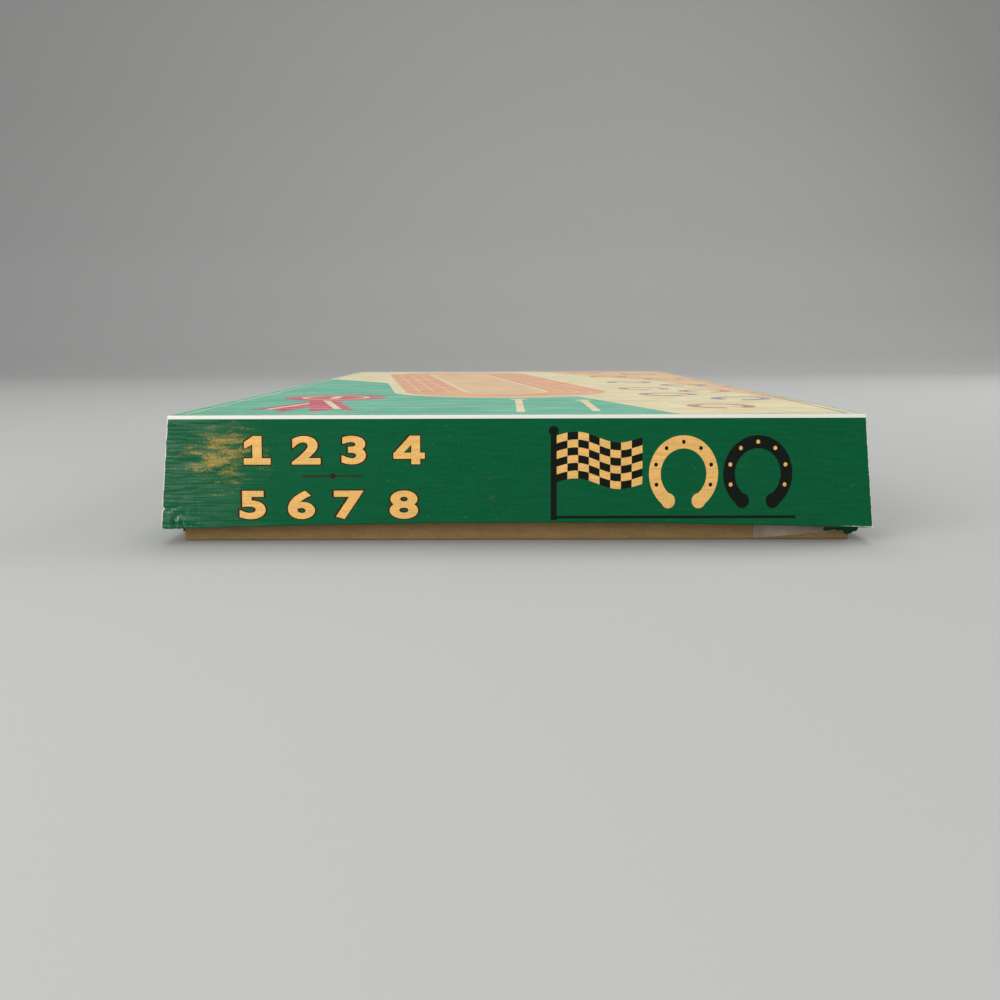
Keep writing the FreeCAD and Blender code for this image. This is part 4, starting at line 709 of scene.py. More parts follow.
# Betting cards: fourteen round-cornered cards of coated board, not quite squared up.
# The top card carries a ruled border, a race number and a horseshoe.
card_stock = worked_finish("coated playing card board", "#e7ddc4", 0.6, 0.05, Roughness=0.5)
leaflet_paper = worked_finish(
    "folded leaflet paper", "#d9cfb2", 0.9, 0.07, relief_mm=0.03, Roughness=0.75
)
finish_nodes(leaflet_paper, "rules_leaflet")
low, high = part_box("betting_cards")
pile = high - low
CARDS, CARD_SHARE, CARD_SKEW = 14, 0.88, 0.009
bm = bmesh.new()
for index in range(CARDS):
    known = set(bm.verts)
    card = bmesh.ops.create_cube(bm, size=1.0)["verts"]
    size = (pile.x - 1.2 * MM, pile.y - 1.2 * MM, CARD_SHARE * pile.z / CARDS)
    bmesh.ops.scale(bm, verts=card, vec=size)
    upright = [
        e
        for e in {e for v in card for e in v.link_edges}
        if abs(e.verts[0].co.z - e.verts[1].co.z) > 0.1 * MM
    ]
    ease_edges(bm, upright, 3.0 * MM, 5)
    card = [v for v in bm.verts if v not in known]
    skew = CARD_SKEW * math.sin(index * 2.4)
    bmesh.ops.rotate(bm, verts=card, cent=(0, 0, 0), matrix=Matrix.Rotation(skew, 3, "Z"))
    drift = Vector((0.35 * MM * math.sin(index * 1.7), 0.4 * MM * math.cos(index * 3.1), 0))
    lift = low.z + (index + 0.5) * pile.z / CARDS
    bmesh.ops.translate(
        bm, verts=card, vec=drift + Vector(((low.x + high.x) / 2, (low.y + high.y) / 2, lift))
    )
cards = new_piece("card_pile", bm, [card_stock], "deck")
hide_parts("betting_cards")

bm = bmesh.new()
frame_x, frame_y = pile.x / MM / 2 - 3.2, pile.y / MM / 2 - 3.2
border = add_patch(bm, (-frame_x, frame_x), (-frame_y, frame_y), ink=1)
outline_face = faces_of(border)
bmesh.ops.inset_individual(bm, faces=outline_face, thickness=0.7)
bmesh.ops.delete(
    bm, geom=[f for f in bm.faces if f.calc_center_median().length < 1.0], context="FACES_ONLY"
)
paint(bm.faces, 1)
add_arc(bm, (0, 8.0), (8.2, 11.6), -58.0, 296.0, ink=2, layer=1)
add_numeral(bm, "7", (0, -17.0), 16.0, 0.9, ink=0, layer=1)
skew = CARD_SKEW * math.sin((CARDS - 1) * 2.4)
card_top = low.z + (CARDS - 0.5) * pile.z / CARDS + CARD_SHARE / 2 * pile.z / CARDS
lay_ink(
    "top_card_print",
    bm,
    Matrix.Translation(((low.x + high.x) / 2, (low.y + high.y) / 2, card_top + INK_LIFT * MM))
    @ Matrix.Rotation(skew, 4, "Z"),
    [black_ink, red_ink, worked_finish("green card ink", "#1f6a44", 0.8, 0.1, Roughness=0.45)],
    "deck",
)


# Gear train: blanked and hobbed brass wheels on turned steel arbors, in brass bushes,
# over a zinc plated plate on four pillars. The brass has dulled to a warm brown.
gear_brass = worked_finish(
    "tarnished cut brass", "#b3924c", 2.5, 0.16, relief_mm=0.01, Metallic=1.0, Roughness=0.34
)
bright_steel = worked_finish(
    "turned bright steel",
    "#c8c8c4",
    0.35,
    0.08,
    relief_mm=0.008,
    stretch=(0.2, 0.2, 3.0),
    Metallic=1.0,
    Roughness=0.26,
)
finish_nodes(gear_brass, "crank_gear", "idler_pinion", "idler_gear", "fly_pinion")
finish_nodes(gear_brass, "flyweight", "crank_bush", "arbor_bushes")
finish_nodes(bright_steel, "crank_shaft", "idler_arbor", "fly_arbor", "gear_pillars")
finish_nodes(zinc_steel, "gear_plate", "pillar_screws", "gate_hangers")


# Crank arm and nut: a pressed steel arm with a sunk panel, nickel plated, held on the
# shaft by an acorn nut. A rivet of the same finish carries the knob.
crank_nickel = worked_finish(
    "nickel plated pressed steel", "#c9c4b8", 3.0, 0.1, relief_mm=0.012, Metallic=1.0, Roughness=0.2
)
low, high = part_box("crank_arm")
arm_half = (high.y - low.y) / 2
bm = bmesh.new()
add_block(bm, low, high)
upright = [e for e in bm.edges if abs(e.verts[0].co.z - e.verts[1].co.z) > 0.5 * MM]
ease_edges(bm, upright, 0.998 * arm_half, 14)
plates = [f for f in bm.faces if abs(f.normal.z) > 0.9]
rims = list({e for f in plates for e in f.edges})
ease_edges(bm, rims, 0.45 * MM, 3)
upper = [f for f in bm.faces if f.normal.z > 0.9 and len(f.verts) > 8]
bmesh.ops.inset_individual(bm, faces=upper, thickness=1.3 * MM)
upper = [f for f in bm.faces if f.normal.z > 0.9 and len(f.verts) > 8]
bmesh.ops.inset_individual(bm, faces=upper, thickness=0.4 * MM, depth=-0.45 * MM)
pressed_arm = new_piece("pressed_crank_arm", bm, [crank_nickel], "crank")
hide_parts("crank_arm")

low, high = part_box("crank_nut")
nut_radius, nut_height = (high.x - low.x) / 2 / MM, (high.z - low.z) / MM
nut_foot = low.z / MM
bm = bmesh.new()
hexagon = bmesh.ops.create_cone(
    bm,
    cap_ends=True,
    segments=6,
    radius1=nut_radius * MM,
    radius2=nut_radius * MM,
    depth=0.55 * nut_height * MM,
)["verts"]
bmesh.ops.translate(
    bm, verts=hexagon, vec=(0, CRANK_LINE * MM, (nut_foot + 0.275 * nut_height) * MM)
)
ease_edges(bm, bm.edges[:], 0.3 * MM, 2)
dome = []
for step in range(9):
    angle = math.radians(90 * step / 8)
    dome.append(
        (0.78 * nut_radius * math.cos(angle), nut_foot + (0.5 + 0.5 * math.sin(angle)) * nut_height)
    )
lathe(bm, [(0.78 * nut_radius, nut_foot + 0.4 * nut_height), *dome], (0, CRANK_LINE))
nut = new_piece("acorn_nut", bm, [crank_nickel], "crank")
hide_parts("crank_nut")
finish_nodes(crank_nickel, "knob_rivet")


# Crank knob: turned beech under red lacquer, free to spin on its rivet.
# The lathe has left two fine grooves round its waist.
low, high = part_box("crank_knob")
knob_radius = (high.x - low.x) / 2 / MM
knob_foot, knob_height = low.z / MM, (high.z - low.z) / MM
red_lacquer = worked_finish(
    "red lacquered beech",
    "#a3211b",
    1.6,
    0.12,
    relief_mm=0.02,
    stretch=(1.0, 1.0, 0.2),
    Roughness=0.2,
    Coat_Weight=0.5,
    Coat_Roughness=0.08,
)
profile = [
    (2.0, 0.0), (0.66 * knob_radius, 0.0), (0.75 * knob_radius, 0.02), (0.78 * knob_radius, 0.06),
    (0.755 * knob_radius, 0.1), (0.7 * knob_radius, 0.135), (0.66 * knob_radius, 0.15),
    (0.675 * knob_radius, 0.165), (0.64 * knob_radius, 0.2), (0.62 * knob_radius, 0.24),
    (0.64 * knob_radius, 0.3), (0.69 * knob_radius, 0.37), (0.84 * knob_radius, 0.5),
    (0.95 * knob_radius, 0.61), (0.995 * knob_radius, 0.7), (0.955 * knob_radius, 0.715),
    (1.0 * knob_radius, 0.73), (0.99 * knob_radius, 0.8), (0.93 * knob_radius, 0.88),
    (0.8 * knob_radius, 0.955), (0.62 * knob_radius, 1.0), (0.51 * knob_radius, 0.998),
    (0.48 * knob_radius, 0.97), (0.48 * knob_radius, 0.86), (2.0, 0.855),
]
bm = bmesh.new()
lathe(
    bm,
    [(r, knob_foot + share * knob_height) for r, share in profile],
    ((low.x + high.x) / 2 / MM, CRANK_LINE),
    steps=56,
)
knob = new_piece("lacquered_knob", bm, [red_lacquer], "knob")
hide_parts("crank_knob")


# Start gate: a comb of wire fingers on a tube, dipped in white enamel, with a steel rod
# through it and a side lever that ends in a red ball.
gate_enamel = worked_finish(
    "dipped white enamel on steel", "#e6e3d8", 1.6, 0.06, relief_mm=0.02, Roughness=0.25
)
finish_nodes(bright_steel, "gate_rod")
finish_nodes(gate_enamel, "gate_comb", "gate_lever")
finish_nodes(red_enamel, "gate_knob")


# Horse bases: a stamped tin plate in green enamel, its edge rolled under, riveted to two
# brushes. The tufts lean back, so that shaking makes them creep forwards.
BRISTLE_ROWS, BRISTLES_IN_A_ROW, BRISTLE_PITCH = 3, 11, 1.45 * MM
BRUSH_DEPTH, BRISTLE_LEAN = 4.0 * MM, 0.35 * MM

base_enamel = worked_finish(
    "stamped tin in green enamel", "#1f5c3d", 1.4, 0.1, relief_mm=0.02, Roughness=0.28
)
bristle = worked_finish("cut plant bristle", "#a98a58", 0.3, 0.3, Roughness=0.85)
for lane in range(1, 9):
    low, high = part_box(f"horse_{lane}_base")
    plate_under = high.z - 1.6 * MM
    bm = bmesh.new()
    add_bar(bm, Vector((low.x, low.y, plate_under)), high, 0.5 * MM, segments=4)
    rivets = [
        bmesh.ops.create_uvsphere(bm, u_segments=12, v_segments=8, radius=0.9 * MM)["verts"]
        for _ in range(2)
    ]
    for rivet, share in zip(rivets, (0.13, 0.87)):
        bmesh.ops.scale(bm, verts=rivet, vec=(1, 1, 0.5))
        bmesh.ops.translate(
            bm, verts=rivet, vec=((low.x + high.x) / 2, low.y + share * (high.y - low.y), high.z)
        )
    for start in (low.y + BRUSH_DEPTH, high.y - 2 * BRUSH_DEPTH):
        for row in range(BRISTLE_ROWS):
            for column in range(BRISTLES_IN_A_ROW):
                tuft = bmesh.ops.create_cone(
                    bm,
                    cap_ends=True,
                    segments=6,
                    radius1=0.42 * MM,
                    radius2=0.62 * MM,
                    depth=plate_under - low.z,
                )["verts"]
                for vert in tuft:
                    vert.co.y -= BRISTLE_LEAN if vert.co.z < 0 else 0.0
                x = low.x + (high.x - low.x) / 2 + (column - 5) * BRISTLE_PITCH
                y = start + (row + 0.5) * BRUSH_DEPTH / BRISTLE_ROWS + 0.15 * MM
                bmesh.ops.translate(bm, verts=tuft, vec=(x, y, (low.z + plate_under) / 2))
                paint(faces_of(tuft), 1)
    base = new_piece(f"horse_{lane}_tin_base", bm, [base_enamel, bristle], f"horse_{lane}")
    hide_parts(f"horse_{lane}_base")


# Horses and riders: cast and hand painted, at full gallop. Each group of limbs is built
# from tapered rounds, blended together, and then painted in its own enamel.
# A limb is (y, z, radius) at both ends, its middle in x, and its half thickness.
VOXEL = 0.36 * MM

HORSE_LIMBS = {
    "coat": [
        ((-7.2, 11.6, 3.6), (-2.0, 11.6, 3.1), 0.0, 3.1),
        ((-2.0, 11.6, 3.1), (4.0, 11.9, 3.4), 0.0, 3.1),
        ((4.6, 12.8, 2.7), (9.6, 16.9, 1.6), 0.0, 1.9),
        ((9.8, 17.1, 1.5), (14.2, 14.4, 0.9), 0.0, 1.2),
        ((-8.4, 10.0, 2.2), (-10.9, 6.4, 1.1), 1.5, 1.3),
        ((-10.9, 6.4, 1.0), (-13.5, 3.9, 0.65), 1.6, 0.8),
        ((-13.5, 3.9, 0.65), (-14.6, 3.2, 0.6), 1.6, 0.65),
        ((-7.0, 9.8, 2.2), (-6.8, 5.8, 1.1), -1.5, 1.3),
        ((-6.8, 5.8, 1.0), (-9.3, 3.0, 0.65), -1.6, 0.8),
        ((-9.3, 3.0, 0.65), (-9.1, 1.5, 0.6), -1.6, 0.65),
        ((4.8, 10.4, 1.8), (9.4, 8.2, 0.95), 1.5, 1.2),
        ((9.4, 8.2, 0.85), (12.9, 5.4, 0.6), 1.6, 0.7),
        ((12.9, 5.4, 0.6), (13.8, 5.0, 0.6), 1.6, 0.6),
        ((4.0, 10.0, 1.8), (7.2, 6.4, 0.95), -1.5, 1.2),
        ((7.2, 6.4, 0.85), (6.6, 2.4, 0.6), -1.6, 0.7),
        ((6.6, 2.4, 0.6), (7.1, 1.3, 0.6), -1.6, 0.6),
        ((9.2, 17.9, 0.55), (9.9, 19.7, 0.22), 0.6, 0.4),
        ((9.2, 17.9, 0.55), (9.9, 19.7, 0.22), -0.6, 0.4),
    ],
    "hair": [
        ((-10.2, 13.2, 0.9), (-13.6, 12.9, 0.95), 0.0, 0.8),
        ((-13.6, 12.9, 0.95), (-16.2, 10.8, 0.4), 0.0, 0.7),
        ((4.2, 15.6, 0.7), (7.0, 17.6, 0.8), 0.0, 0.45),
        ((7.0, 17.6, 0.8), (9.3, 18.9, 0.6), 0.0, 0.45),
    ],
    "hoof": [
        ((-14.6, 3.2, 0.65), (-15.3, 2.8, 0.8), 1.6, 0.8),
        ((-9.1, 1.5, 0.65), (-9.0, 0.75, 0.8), -1.6, 0.8),
        ((13.8, 5.0, 0.6), (14.5, 4.6, 0.75), 1.6, 0.75),
        ((7.1, 1.3, 0.6), (7.5, 0.75, 0.75), -1.6, 0.75),
    ],
    "cloth": [((-3.2, 13.9, 1.4), (1.6, 14.0, 1.4), 0.0, 3.3)],
    "breeches": [
        ((-1.4, 16.0, 1.3), (2.6, 14.8, 1.0), 2.5, 0.95),
        ((-1.4, 16.0, 1.3), (2.6, 14.8, 1.0), -2.5, 0.95),
        ((-1.6, 16.3, 1.5), (-0.8, 16.6, 1.4), 0.0, 2.2),
    ],
    "boot": [
        ((2.6, 14.8, 0.9), (0.4, 11.2, 0.75), 2.9, 0.75),
        ((0.4, 11.2, 0.75), (1.9, 10.8, 0.5), 2.9, 0.65),
        ((2.6, 14.8, 0.9), (0.4, 11.2, 0.75), -2.9, 0.75),
        ((0.4, 11.2, 0.75), (1.9, 10.8, 0.5), -2.9, 0.65),
    ],
    "silk": [
        ((-1.2, 16.8, 1.3), (3.0, 19.2, 1.45), 0.0, 1.9),
        ((2.9, 19.0, 0.85), (5.0, 16.6, 0.65), 1.75, 0.75),
        ((2.9, 19.0, 0.85), (5.0, 16.6, 0.65), -1.75, 0.75),
        ((5.0, 16.6, 0.62), (6.6, 16.3, 0.55), 1.35, 0.6),
        ((5.0, 16.6, 0.62), (6.6, 16.3, 0.55), -1.35, 0.6),
    ],
    "skin": [
        ((4.9, 20.6, 1.2), (5.4, 20.5, 1.15), 0.0, 1.05),
        ((6.7, 16.3, 0.5), (7.3, 16.2, 0.45), 1.1, 0.5),
        ((6.7, 16.3, 0.5), (7.3, 16.2, 0.45), -1.1, 0.5),
    ],
    "cap": [
        ((4.6, 21.1, 1.4), (5.1, 21.2, 1.35), 0.0, 1.3),
        ((5.7, 21.2, 0.45), (7.2, 20.9, 0.25), 0.0, 0.95),
    ],
    "rein": [
        ((7.2, 16.3, 0.2), (12.4, 15.0, 0.2), 1.15, 0.2),
        ((7.2, 16.3, 0.2), (12.4, 15.0, 0.2), -1.15, 0.2),
        ((11.9, 16.6, 0.28), (12.5, 14.4, 0.28), 1.15, 0.25),
        ((11.9, 16.6, 0.28), (12.5, 14.4, 0.28), -1.15, 0.25),
        ((-0.6, 15.0, 0.5), (-0.3, 9.0, 0.35), 3.05, 0.25),
    ],
}


def blend_limbs(limbs):
    """Tapered rounds at the origin, merged into one skin."""
    builder = bmesh.new()
    for first, last, middle_x, half_x in limbs:
        known = set(builder.verts)
        for y, z, radius in (first, last):
            ball = bmesh.ops.create_uvsphere(builder, u_segments=16, v_segments=10, radius=radius)
            spread = min(1.0, half_x / max(first[2], last[2]))
            bmesh.ops.scale(builder, verts=ball["verts"], vec=(spread, 1, 1))
            bmesh.ops.translate(builder, verts=ball["verts"], vec=(middle_x, y, z))
        pair = [v for v in builder.verts if v not in known]
        hull = bmesh.ops.convex_hull(builder, input=pair)
        spare = set(verts_of(hull["geom_interior"] + hull["geom_unused"]))
        bmesh.ops.delete(builder, geom=list(spare), context="VERTS")
        fresh = [f for f in builder.faces if all(v not in known for v in f.verts)]
        old_faces = [f for f in fresh if f not in hull["geom"]]
        bmesh.ops.delete(builder, geom=old_faces, context="FACES_ONLY")
    bmesh.ops.scale(builder, verts=builder.verts, vec=(MM, MM, MM))
    mesh = bpy.data.meshes.new("limbs")
    builder.to_mesh(mesh)
    builder.free()
    holder = bpy.data.objects.new("limbs", mesh)
    bpy.context.scene.collection.objects.link(holder)
    skin = holder.modifiers.new("skin", "REMESH")
    skin.mode = "VOXEL"
    skin.voxel_size = VOXEL
    skin.use_smooth_shade = True
    ease = holder.modifiers.new("ease", "SMOOTH")
    ease.factor = 0.5
    ease.iterations = 4
    finished = bpy.data.meshes.new_from_object(
        holder.evaluated_get(bpy.context.evaluated_depsgraph_get())
    )
    bpy.data.objects.remove(holder)
    return finished


limb_skins = {group: blend_limbs(limbs) for group, limbs in HORSE_LIMBS.items()}
coat_paints = {
    "bay": worked_finish("bay enamel", "#5a2f1b", 2.2, 0.16, relief_mm=0.03, Roughness=0.36),
    "grey": worked_finish("grey enamel", "#a9a8a2", 2.0, 0.14, relief_mm=0.03, Roughness=0.36),
    "chestnut": worked_finish(
        "chestnut enamel", "#8d4a22", 2.2, 0.14, relief_mm=0.03, Roughness=0.36
    ),
    "black": worked_finish("black enamel", "#221f1e", 2.2, 0.2, relief_mm=0.03, Roughness=0.32),
}
dark_hair = worked_finish(
    "dark brown enamel", "#2a1a13", 0.5, 0.25, relief_mm=0.06, stretch=(1, 0.3, 1), Roughness=0.5
)
pale_hair = worked_finish(
    "pale grey enamel", "#d6d2c6", 0.5, 0.12, relief_mm=0.06, stretch=(1, 0.3, 1), Roughness=0.5
)
hoof_paint = worked_finish("hoof grey enamel", "#3a332d", 0.8, 0.2, Roughness=0.45)
breeches_paint = worked_finish("white enamel", "#ebe7db", 1.0, 0.05, relief_mm=0.02, Roughness=0.4)
boot_paint = worked_finish("gloss black enamel", "#191716", 1.0, 0.2, Roughness=0.2)
skin_paint = worked_finish("flesh enamel", "#cf9a74", 1.0, 0.06, Roughness=0.42)
strap_paint = worked_finish("tan strap enamel", "#5b3d25", 0.6, 0.2, Roughness=0.5)
SILKS = [
    ("red", "#b3271f", "#f0e9d8"),
    ("royal blue", "#24479a", "#d8b23a"),
    ("yellow", "#dcae2a", "#1e2c5c"),
    ("emerald", "#1f7d4c", "#f0e9d8"),
    ("white", "#ece8de", "#b3271f"),
    ("orange", "#cf6a22", "#1c1b1b"),
    ("violet", "#5b3a82", "#dcae2a"),
    ("sky blue", "#6fa6c8", "#8f2436"),
]
coats = ["bay", "grey", "chestnut", "black", "chestnut", "bay", "grey", "black"]
for lane, (coat, (silk_name, silk, trim)) in enumerate(zip(coats, SILKS), start=1):
    low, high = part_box(f"horse_{lane}_base")
    middle = Vector(((low.x + high.x) / 2, (low.y + high.y) / 2, high.z))
    silk_paint = worked_finish(
        f"{silk_name} silks enamel", silk, 1.4, 0.1, relief_mm=0.03, Roughness=0.34
    )
    trim_paint = worked_finish(f"{silk_name} cap enamel", trim, 1.4, 0.1, Roughness=0.3)
    paints = {
        "coat": coat_paints[coat],
        "hair": pale_hair if coat == "grey" else dark_hair,
        "hoof": hoof_paint,
        "cloth": trim_paint,
        "breeches": breeches_paint,
        "boot": boot_paint,
        "silk": silk_paint,
        "skin": skin_paint,
        "cap": trim_paint,
        "rein": strap_paint,
    }
    bm = bmesh.new()
    for index, group in enumerate(HORSE_LIMBS):
        known = set(bm.faces)
        bm.from_mesh(limb_skins[group])
        paint([f for f in bm.faces if f not in known], index)
    for face in bm.faces:
        face.smooth = True
    bmesh.ops.translate(bm, verts=bm.verts, vec=middle)
    runner = new_piece(
        f"horse_{lane}_and_rider", bm, [paints[g] for g in HORSE_LIMBS], f"horse_{lane}"
    )
    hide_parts(f"horse_{lane}_figure")


# Lid wrap: green printed paper with a glossy lamination, pasted over the board and
# turned in round the skirt's edge. It is worn white along its folds.
WRAP_WIDTH, WRAP_LENGTH = 254.0 * MM, 508.0 * MM
WRAP_TOP, WRAP_FOOT = 46.9 * MM, 5.5 * MM
SPLAY = 3.4 * MM
WEAR_BAND = 0.9 * MM
BARE_STRIP = 45.6 * MM
SKIRT_ARCH = 2.1 * MM
HEM_INSET, HEM_HEIGHT = 2.0 * MM, 14.0 * MM
CRUSH_REACH, CRUSH_HEIGHT = 14.0 * MM, 13.0 * MM
GOLD_RUB_AT, GLOSSY_FOLD_AT = (-0.1075, -0.255, 0.0325), (-0.13, -0.256, 0.02)
LINEN_PITCH = 0.45 * MM
PAPER_GLOSS, TOP_GLOSS = 0.12, 0.4


def make_print(name, ink, rubbed=False, gloss=PAPER_GLOSS):
    """Printed, laminated paper in one ink, with worn folds where the paper has them, and pale crease
    lines that are partly a painted highlight.
    """
    material, shader = new_finish(
        name, Specular_IOR_Level=gloss, Coat_Weight=0.05, Coat_Roughness=0.15
    )
    place = add_node(material, "TexCoord").outputs["Object"]
    grain = add_node(
        material, "TexNoise", Vector=place, Scale=0.6 / LINEN_PITCH, Detail=2.0, Roughness=0.7
    )
    lay = add_node(material, "Mapping", Vector=place, Scale=(70.0, 70.0, 1100.0))
    streaks = add_node(material, "TexNoise", Vector=lay, Scale=1.0, Detail=3.0, Roughness=0.55)
    drift = add_node(material, "TexNoise", Vector=place, Scale=14.0, Detail=2.0)
    mottled = add_node(material, "Math", grain, streaks, operation="ADD")
    depth = add_node(
        material, "MapRange", Value=mottled, From_Min=0.7, From_Max=1.3, To_Min=0.83, To_Max=1.19
    )
    surface = add_node(material, "HueSaturation", Value=depth, Color=colour(ink))
    worn_noise = add_node(
        material, "TexNoise", Vector=place, Scale=420.0, Detail=5.0, Roughness=0.7
    )
    fold = add_node(material, "Attribute", attribute_name="fold_wear_and_crease_highlight")
    wear_and_highlight = add_node(material, "Math", worn_noise, fold.outputs["Fac"], operation="ADD")
    scuff_and_highlight = add_node(material, "MapRange", Value=wear_and_highlight, From_Min=1.37, From_Max=1.47)
    speck_noise = add_node(
        material, "TexNoise", Vector=place, Scale=310.0, Detail=2.0, Roughness=0.8
    )
    specks = add_node(
        material, "MapRange", Value=speck_noise, From_Min=0.79, From_Max=0.83, To_Max=0.7
    )
    bare_paper_and_highlight = add_node(material, "Math", scuff_and_highlight, specks, operation="MAXIMUM")
    if gloss > PAPER_GLOSS:
        # Pale, crossways streaks are mixed into the top's colour: a painted glare, standing in for
        # the sheen on its glossy lamination.
        glare_streak_lay = add_node(material, "Mapping", Vector=place, Scale=(22.0, 150.0, 1.0))
        glare_streak_noise = add_node(
            material, "TexNoise", Vector=glare_streak_lay, Scale=1.0, Detail=5.0, Roughness=0.62
        )
        painted_glare_streaks = add_node(
            material, "MapRange", Value=glare_streak_noise, From_Min=0.5, From_Max=0.72, To_Max=0.52
        )
        surface = add_node(
            material, "Mix", Factor=painted_glare_streaks, A=surface, B=colour("#dff0e2"), data_type="RGBA"
        )
    if rubbed:
        # A hand has rubbed the ink to an old-gold speckle beside the front's numbers.
        offset = add_node(material, "VectorMath", place, GOLD_RUB_AT, operation="SUBTRACT")
        stretched = add_node(
            material, "VectorMath", offset, (0.85, 0.5, 1.15), operation="MULTIPLY"
        )
        reach = add_node(material, "VectorMath", stretched, operation="LENGTH")
        near = add_node(
            material,
            "MapRange",
            Value=reach,
            From_Min=0.003,
            From_Max=0.021,
            To_Min=0.47,
            To_Max=0.0,
        )
        rub_lay = add_node(material, "Mapping", Vector=place, Scale=(150.0, 150.0, 620.0))
        rub_bands = add_node(
            material, "TexNoise", Vector=rub_lay, Scale=1.0, Detail=2.0, Roughness=0.5
        )
        speckle = add_node(
            material, "TexNoise", Vector=place, Scale=2600.0, Detail=2.0, Roughness=0.8
        )
        flecks = add_node(material, "Math", speckle, rub_bands, operation="ADD")
        strength = add_node(material, "Math", flecks, near, operation="ADD")
        gold = add_node(
            material, "MapRange", Value=strength, From_Min=1.3, From_Max=1.64, To_Max=0.9
        )
        surface = add_node(
            material, "Mix", Factor=gold, A=surface, B=colour("#c09a48"), data_type="RGBA"
        )
        # The lamination is still glossy in flecks by the left fold, and dull further on.
        from_fold = add_node(material, "VectorMath", place, GLOSSY_FOLD_AT, operation="SUBTRACT")
        squashed = add_node(
            material, "VectorMath", from_fold, (1.0, 1.0, 0.3), operation="MULTIPLY"
        )
        fold_reach = add_node(material, "VectorMath", squashed, operation="LENGTH")
        fleck_gloss = add_node(
            material,
            "MapRange",
            Value=fold_reach,
            From_Min=0.006,
            From_Max=0.042,
            To_Min=1.0,
            To_Max=0.0,
        )
        flecked = add_node(
            material, "MapRange", Value=streaks, From_Min=0.42, From_Max=0.6, To_Max=1.0
        )
        left_gloss = add_node(material, "Math", fleck_gloss, flecked, operation="MULTIPLY")
        level = add_node(material, "MapRange", Value=left_gloss, To_Min=gloss, To_Max=0.7)
        fit(shader, Specular_IOR_Level=level)
    paper = add_node(material, "Mix", Factor=bare_paper_and_highlight, A=surface, B=colour("#ece6d8"), data_type="RGBA")
    dullness = add_node(material, "MapRange", Value=bare_paper_and_highlight, To_Min=0.27, To_Max=0.75)
    fit(shader, Base_Color=paper, Roughness=dullness)
    ripple = add_node(material, "Bump", Height=drift, Strength=0.35, Distance=0.004)
    relief = add_node(
        material, "Bump", Height=mottled, Strength=0.35, Distance=8e-05, Normal=ripple
    )
    fit(shader, Normal=relief)
    return material


wrap_green = make_print("laminated green print", "#005c36", rubbed=True)
wrap_top = make_print("light green print", "#45bb95", gloss=TOP_GLOSS)
wrap_bare = worked_finish("unprinted paper edge", "#f7f6ec", 0.4, 0.03, Roughness=0.6)


def add_lid_box(builder, skin):
    """The lid's outline less a skin: a box with no floor, splayed at its foot."""
    reach = Vector((WRAP_WIDTH / 2 - skin, WRAP_LENGTH / 2 - skin, -skin))
    foot, top = Vector((0, 0, WRAP_FOOT)), Vector((0, 0, WRAP_TOP))
    for vert in add_block(builder, foot - reach, top + reach):
        if vert.co.z < (WRAP_TOP + WRAP_FOOT) / 2:
            vert.co.x += math.copysign(SPLAY, vert.co.x)
            vert.co.y += math.copysign(SPLAY, vert.co.y)
    floor = [f for f in builder.faces if f.normal.z < -0.9]
    bmesh.ops.delete(builder, geom=floor, context="FACES_ONLY")


bm = bmesh.new()
add_lid_box(bm, 0.0)
bmesh.ops.inset_individual(bm, faces=bm.faces[:], thickness=WEAR_BAND, use_even_offset=True)
fold_wear_and_crease_highlight = bm.verts.layers.float.new("fold_wear_and_crease_highlight")


def skirt_half(overall, height):
    """Half the wrap's width at a height, as the skirt splays."""
    return overall / 2 + SPLAY * (WRAP_TOP - height) / (WRAP_TOP - WRAP_FOOT)


def cut_across(builder, axis, place, near=lambda centre: True):
    """Cuts every piece of the sheet that is near enough with one plane."""
    normal = Vector([1.0 if i == axis else 0.0 for i in range(3)])
    faces = [f for f in builder.faces if near(f.calc_center_median())]
    edges = {e for f in faces for e in f.edges}
    verts = {v for f in faces for v in f.verts}
    bmesh.ops.bisect_plane(
        builder,
        geom=list(verts) + list(edges) + faces,
        plane_co=normal * place * MM,
        plane_no=normal,
    )


def arch(vert):
    """Raises the middle of each wall's lower edge, where hands have lifted the lid."""
    share_x = min(1.0, abs(vert.co.x) / (WRAP_WIDTH / 2))
    share_y = min(1.0, abs(vert.co.y) / (WRAP_LENGTH / 2))
    bow = max(1.0 - share_x**2, 1.0 - share_y**2)
    foot_share = max(0.0, 1.0 - (vert.co.z - WRAP_FOOT) / (WRAP_TOP - WRAP_FOOT))
    rise = SKIRT_ARCH * bow * foot_share**2
    pull = SPLAY / (WRAP_TOP - WRAP_FOOT) * rise
    vert.co.x -= pull * vert.co.x / (WRAP_WIDTH / 2)
    vert.co.y -= pull * vert.co.y / (WRAP_LENGTH / 2)
    vert.co.z += rise


def at_crush(centre):
    """Whether a place is in the part of the sheet round the crushed corner."""
    return centre.x < -0.112 and centre.y < -0.235 and centre.z < 0.024


def cut_sheet(builder):
    """Cuts a lid sheet into strips that can bow, and finely where it is crushed."""
    for step in range(-108, 109, 12):
        cut_across(builder, 0, step)
    for step in range(-240, 241, 20):
        cut_across(builder, 1, step)
    for step in (12, 20, 30):
        cut_across(builder, 2, step)
    for step in range(-131, -112, 1):
        cut_across(builder, 0, step, at_crush)
    for step in range(-257, -236, 2):
        cut_across(builder, 1, step, at_crush)
    for step in range(6, 20, 1):
        cut_across(builder, 2, step, at_crush)


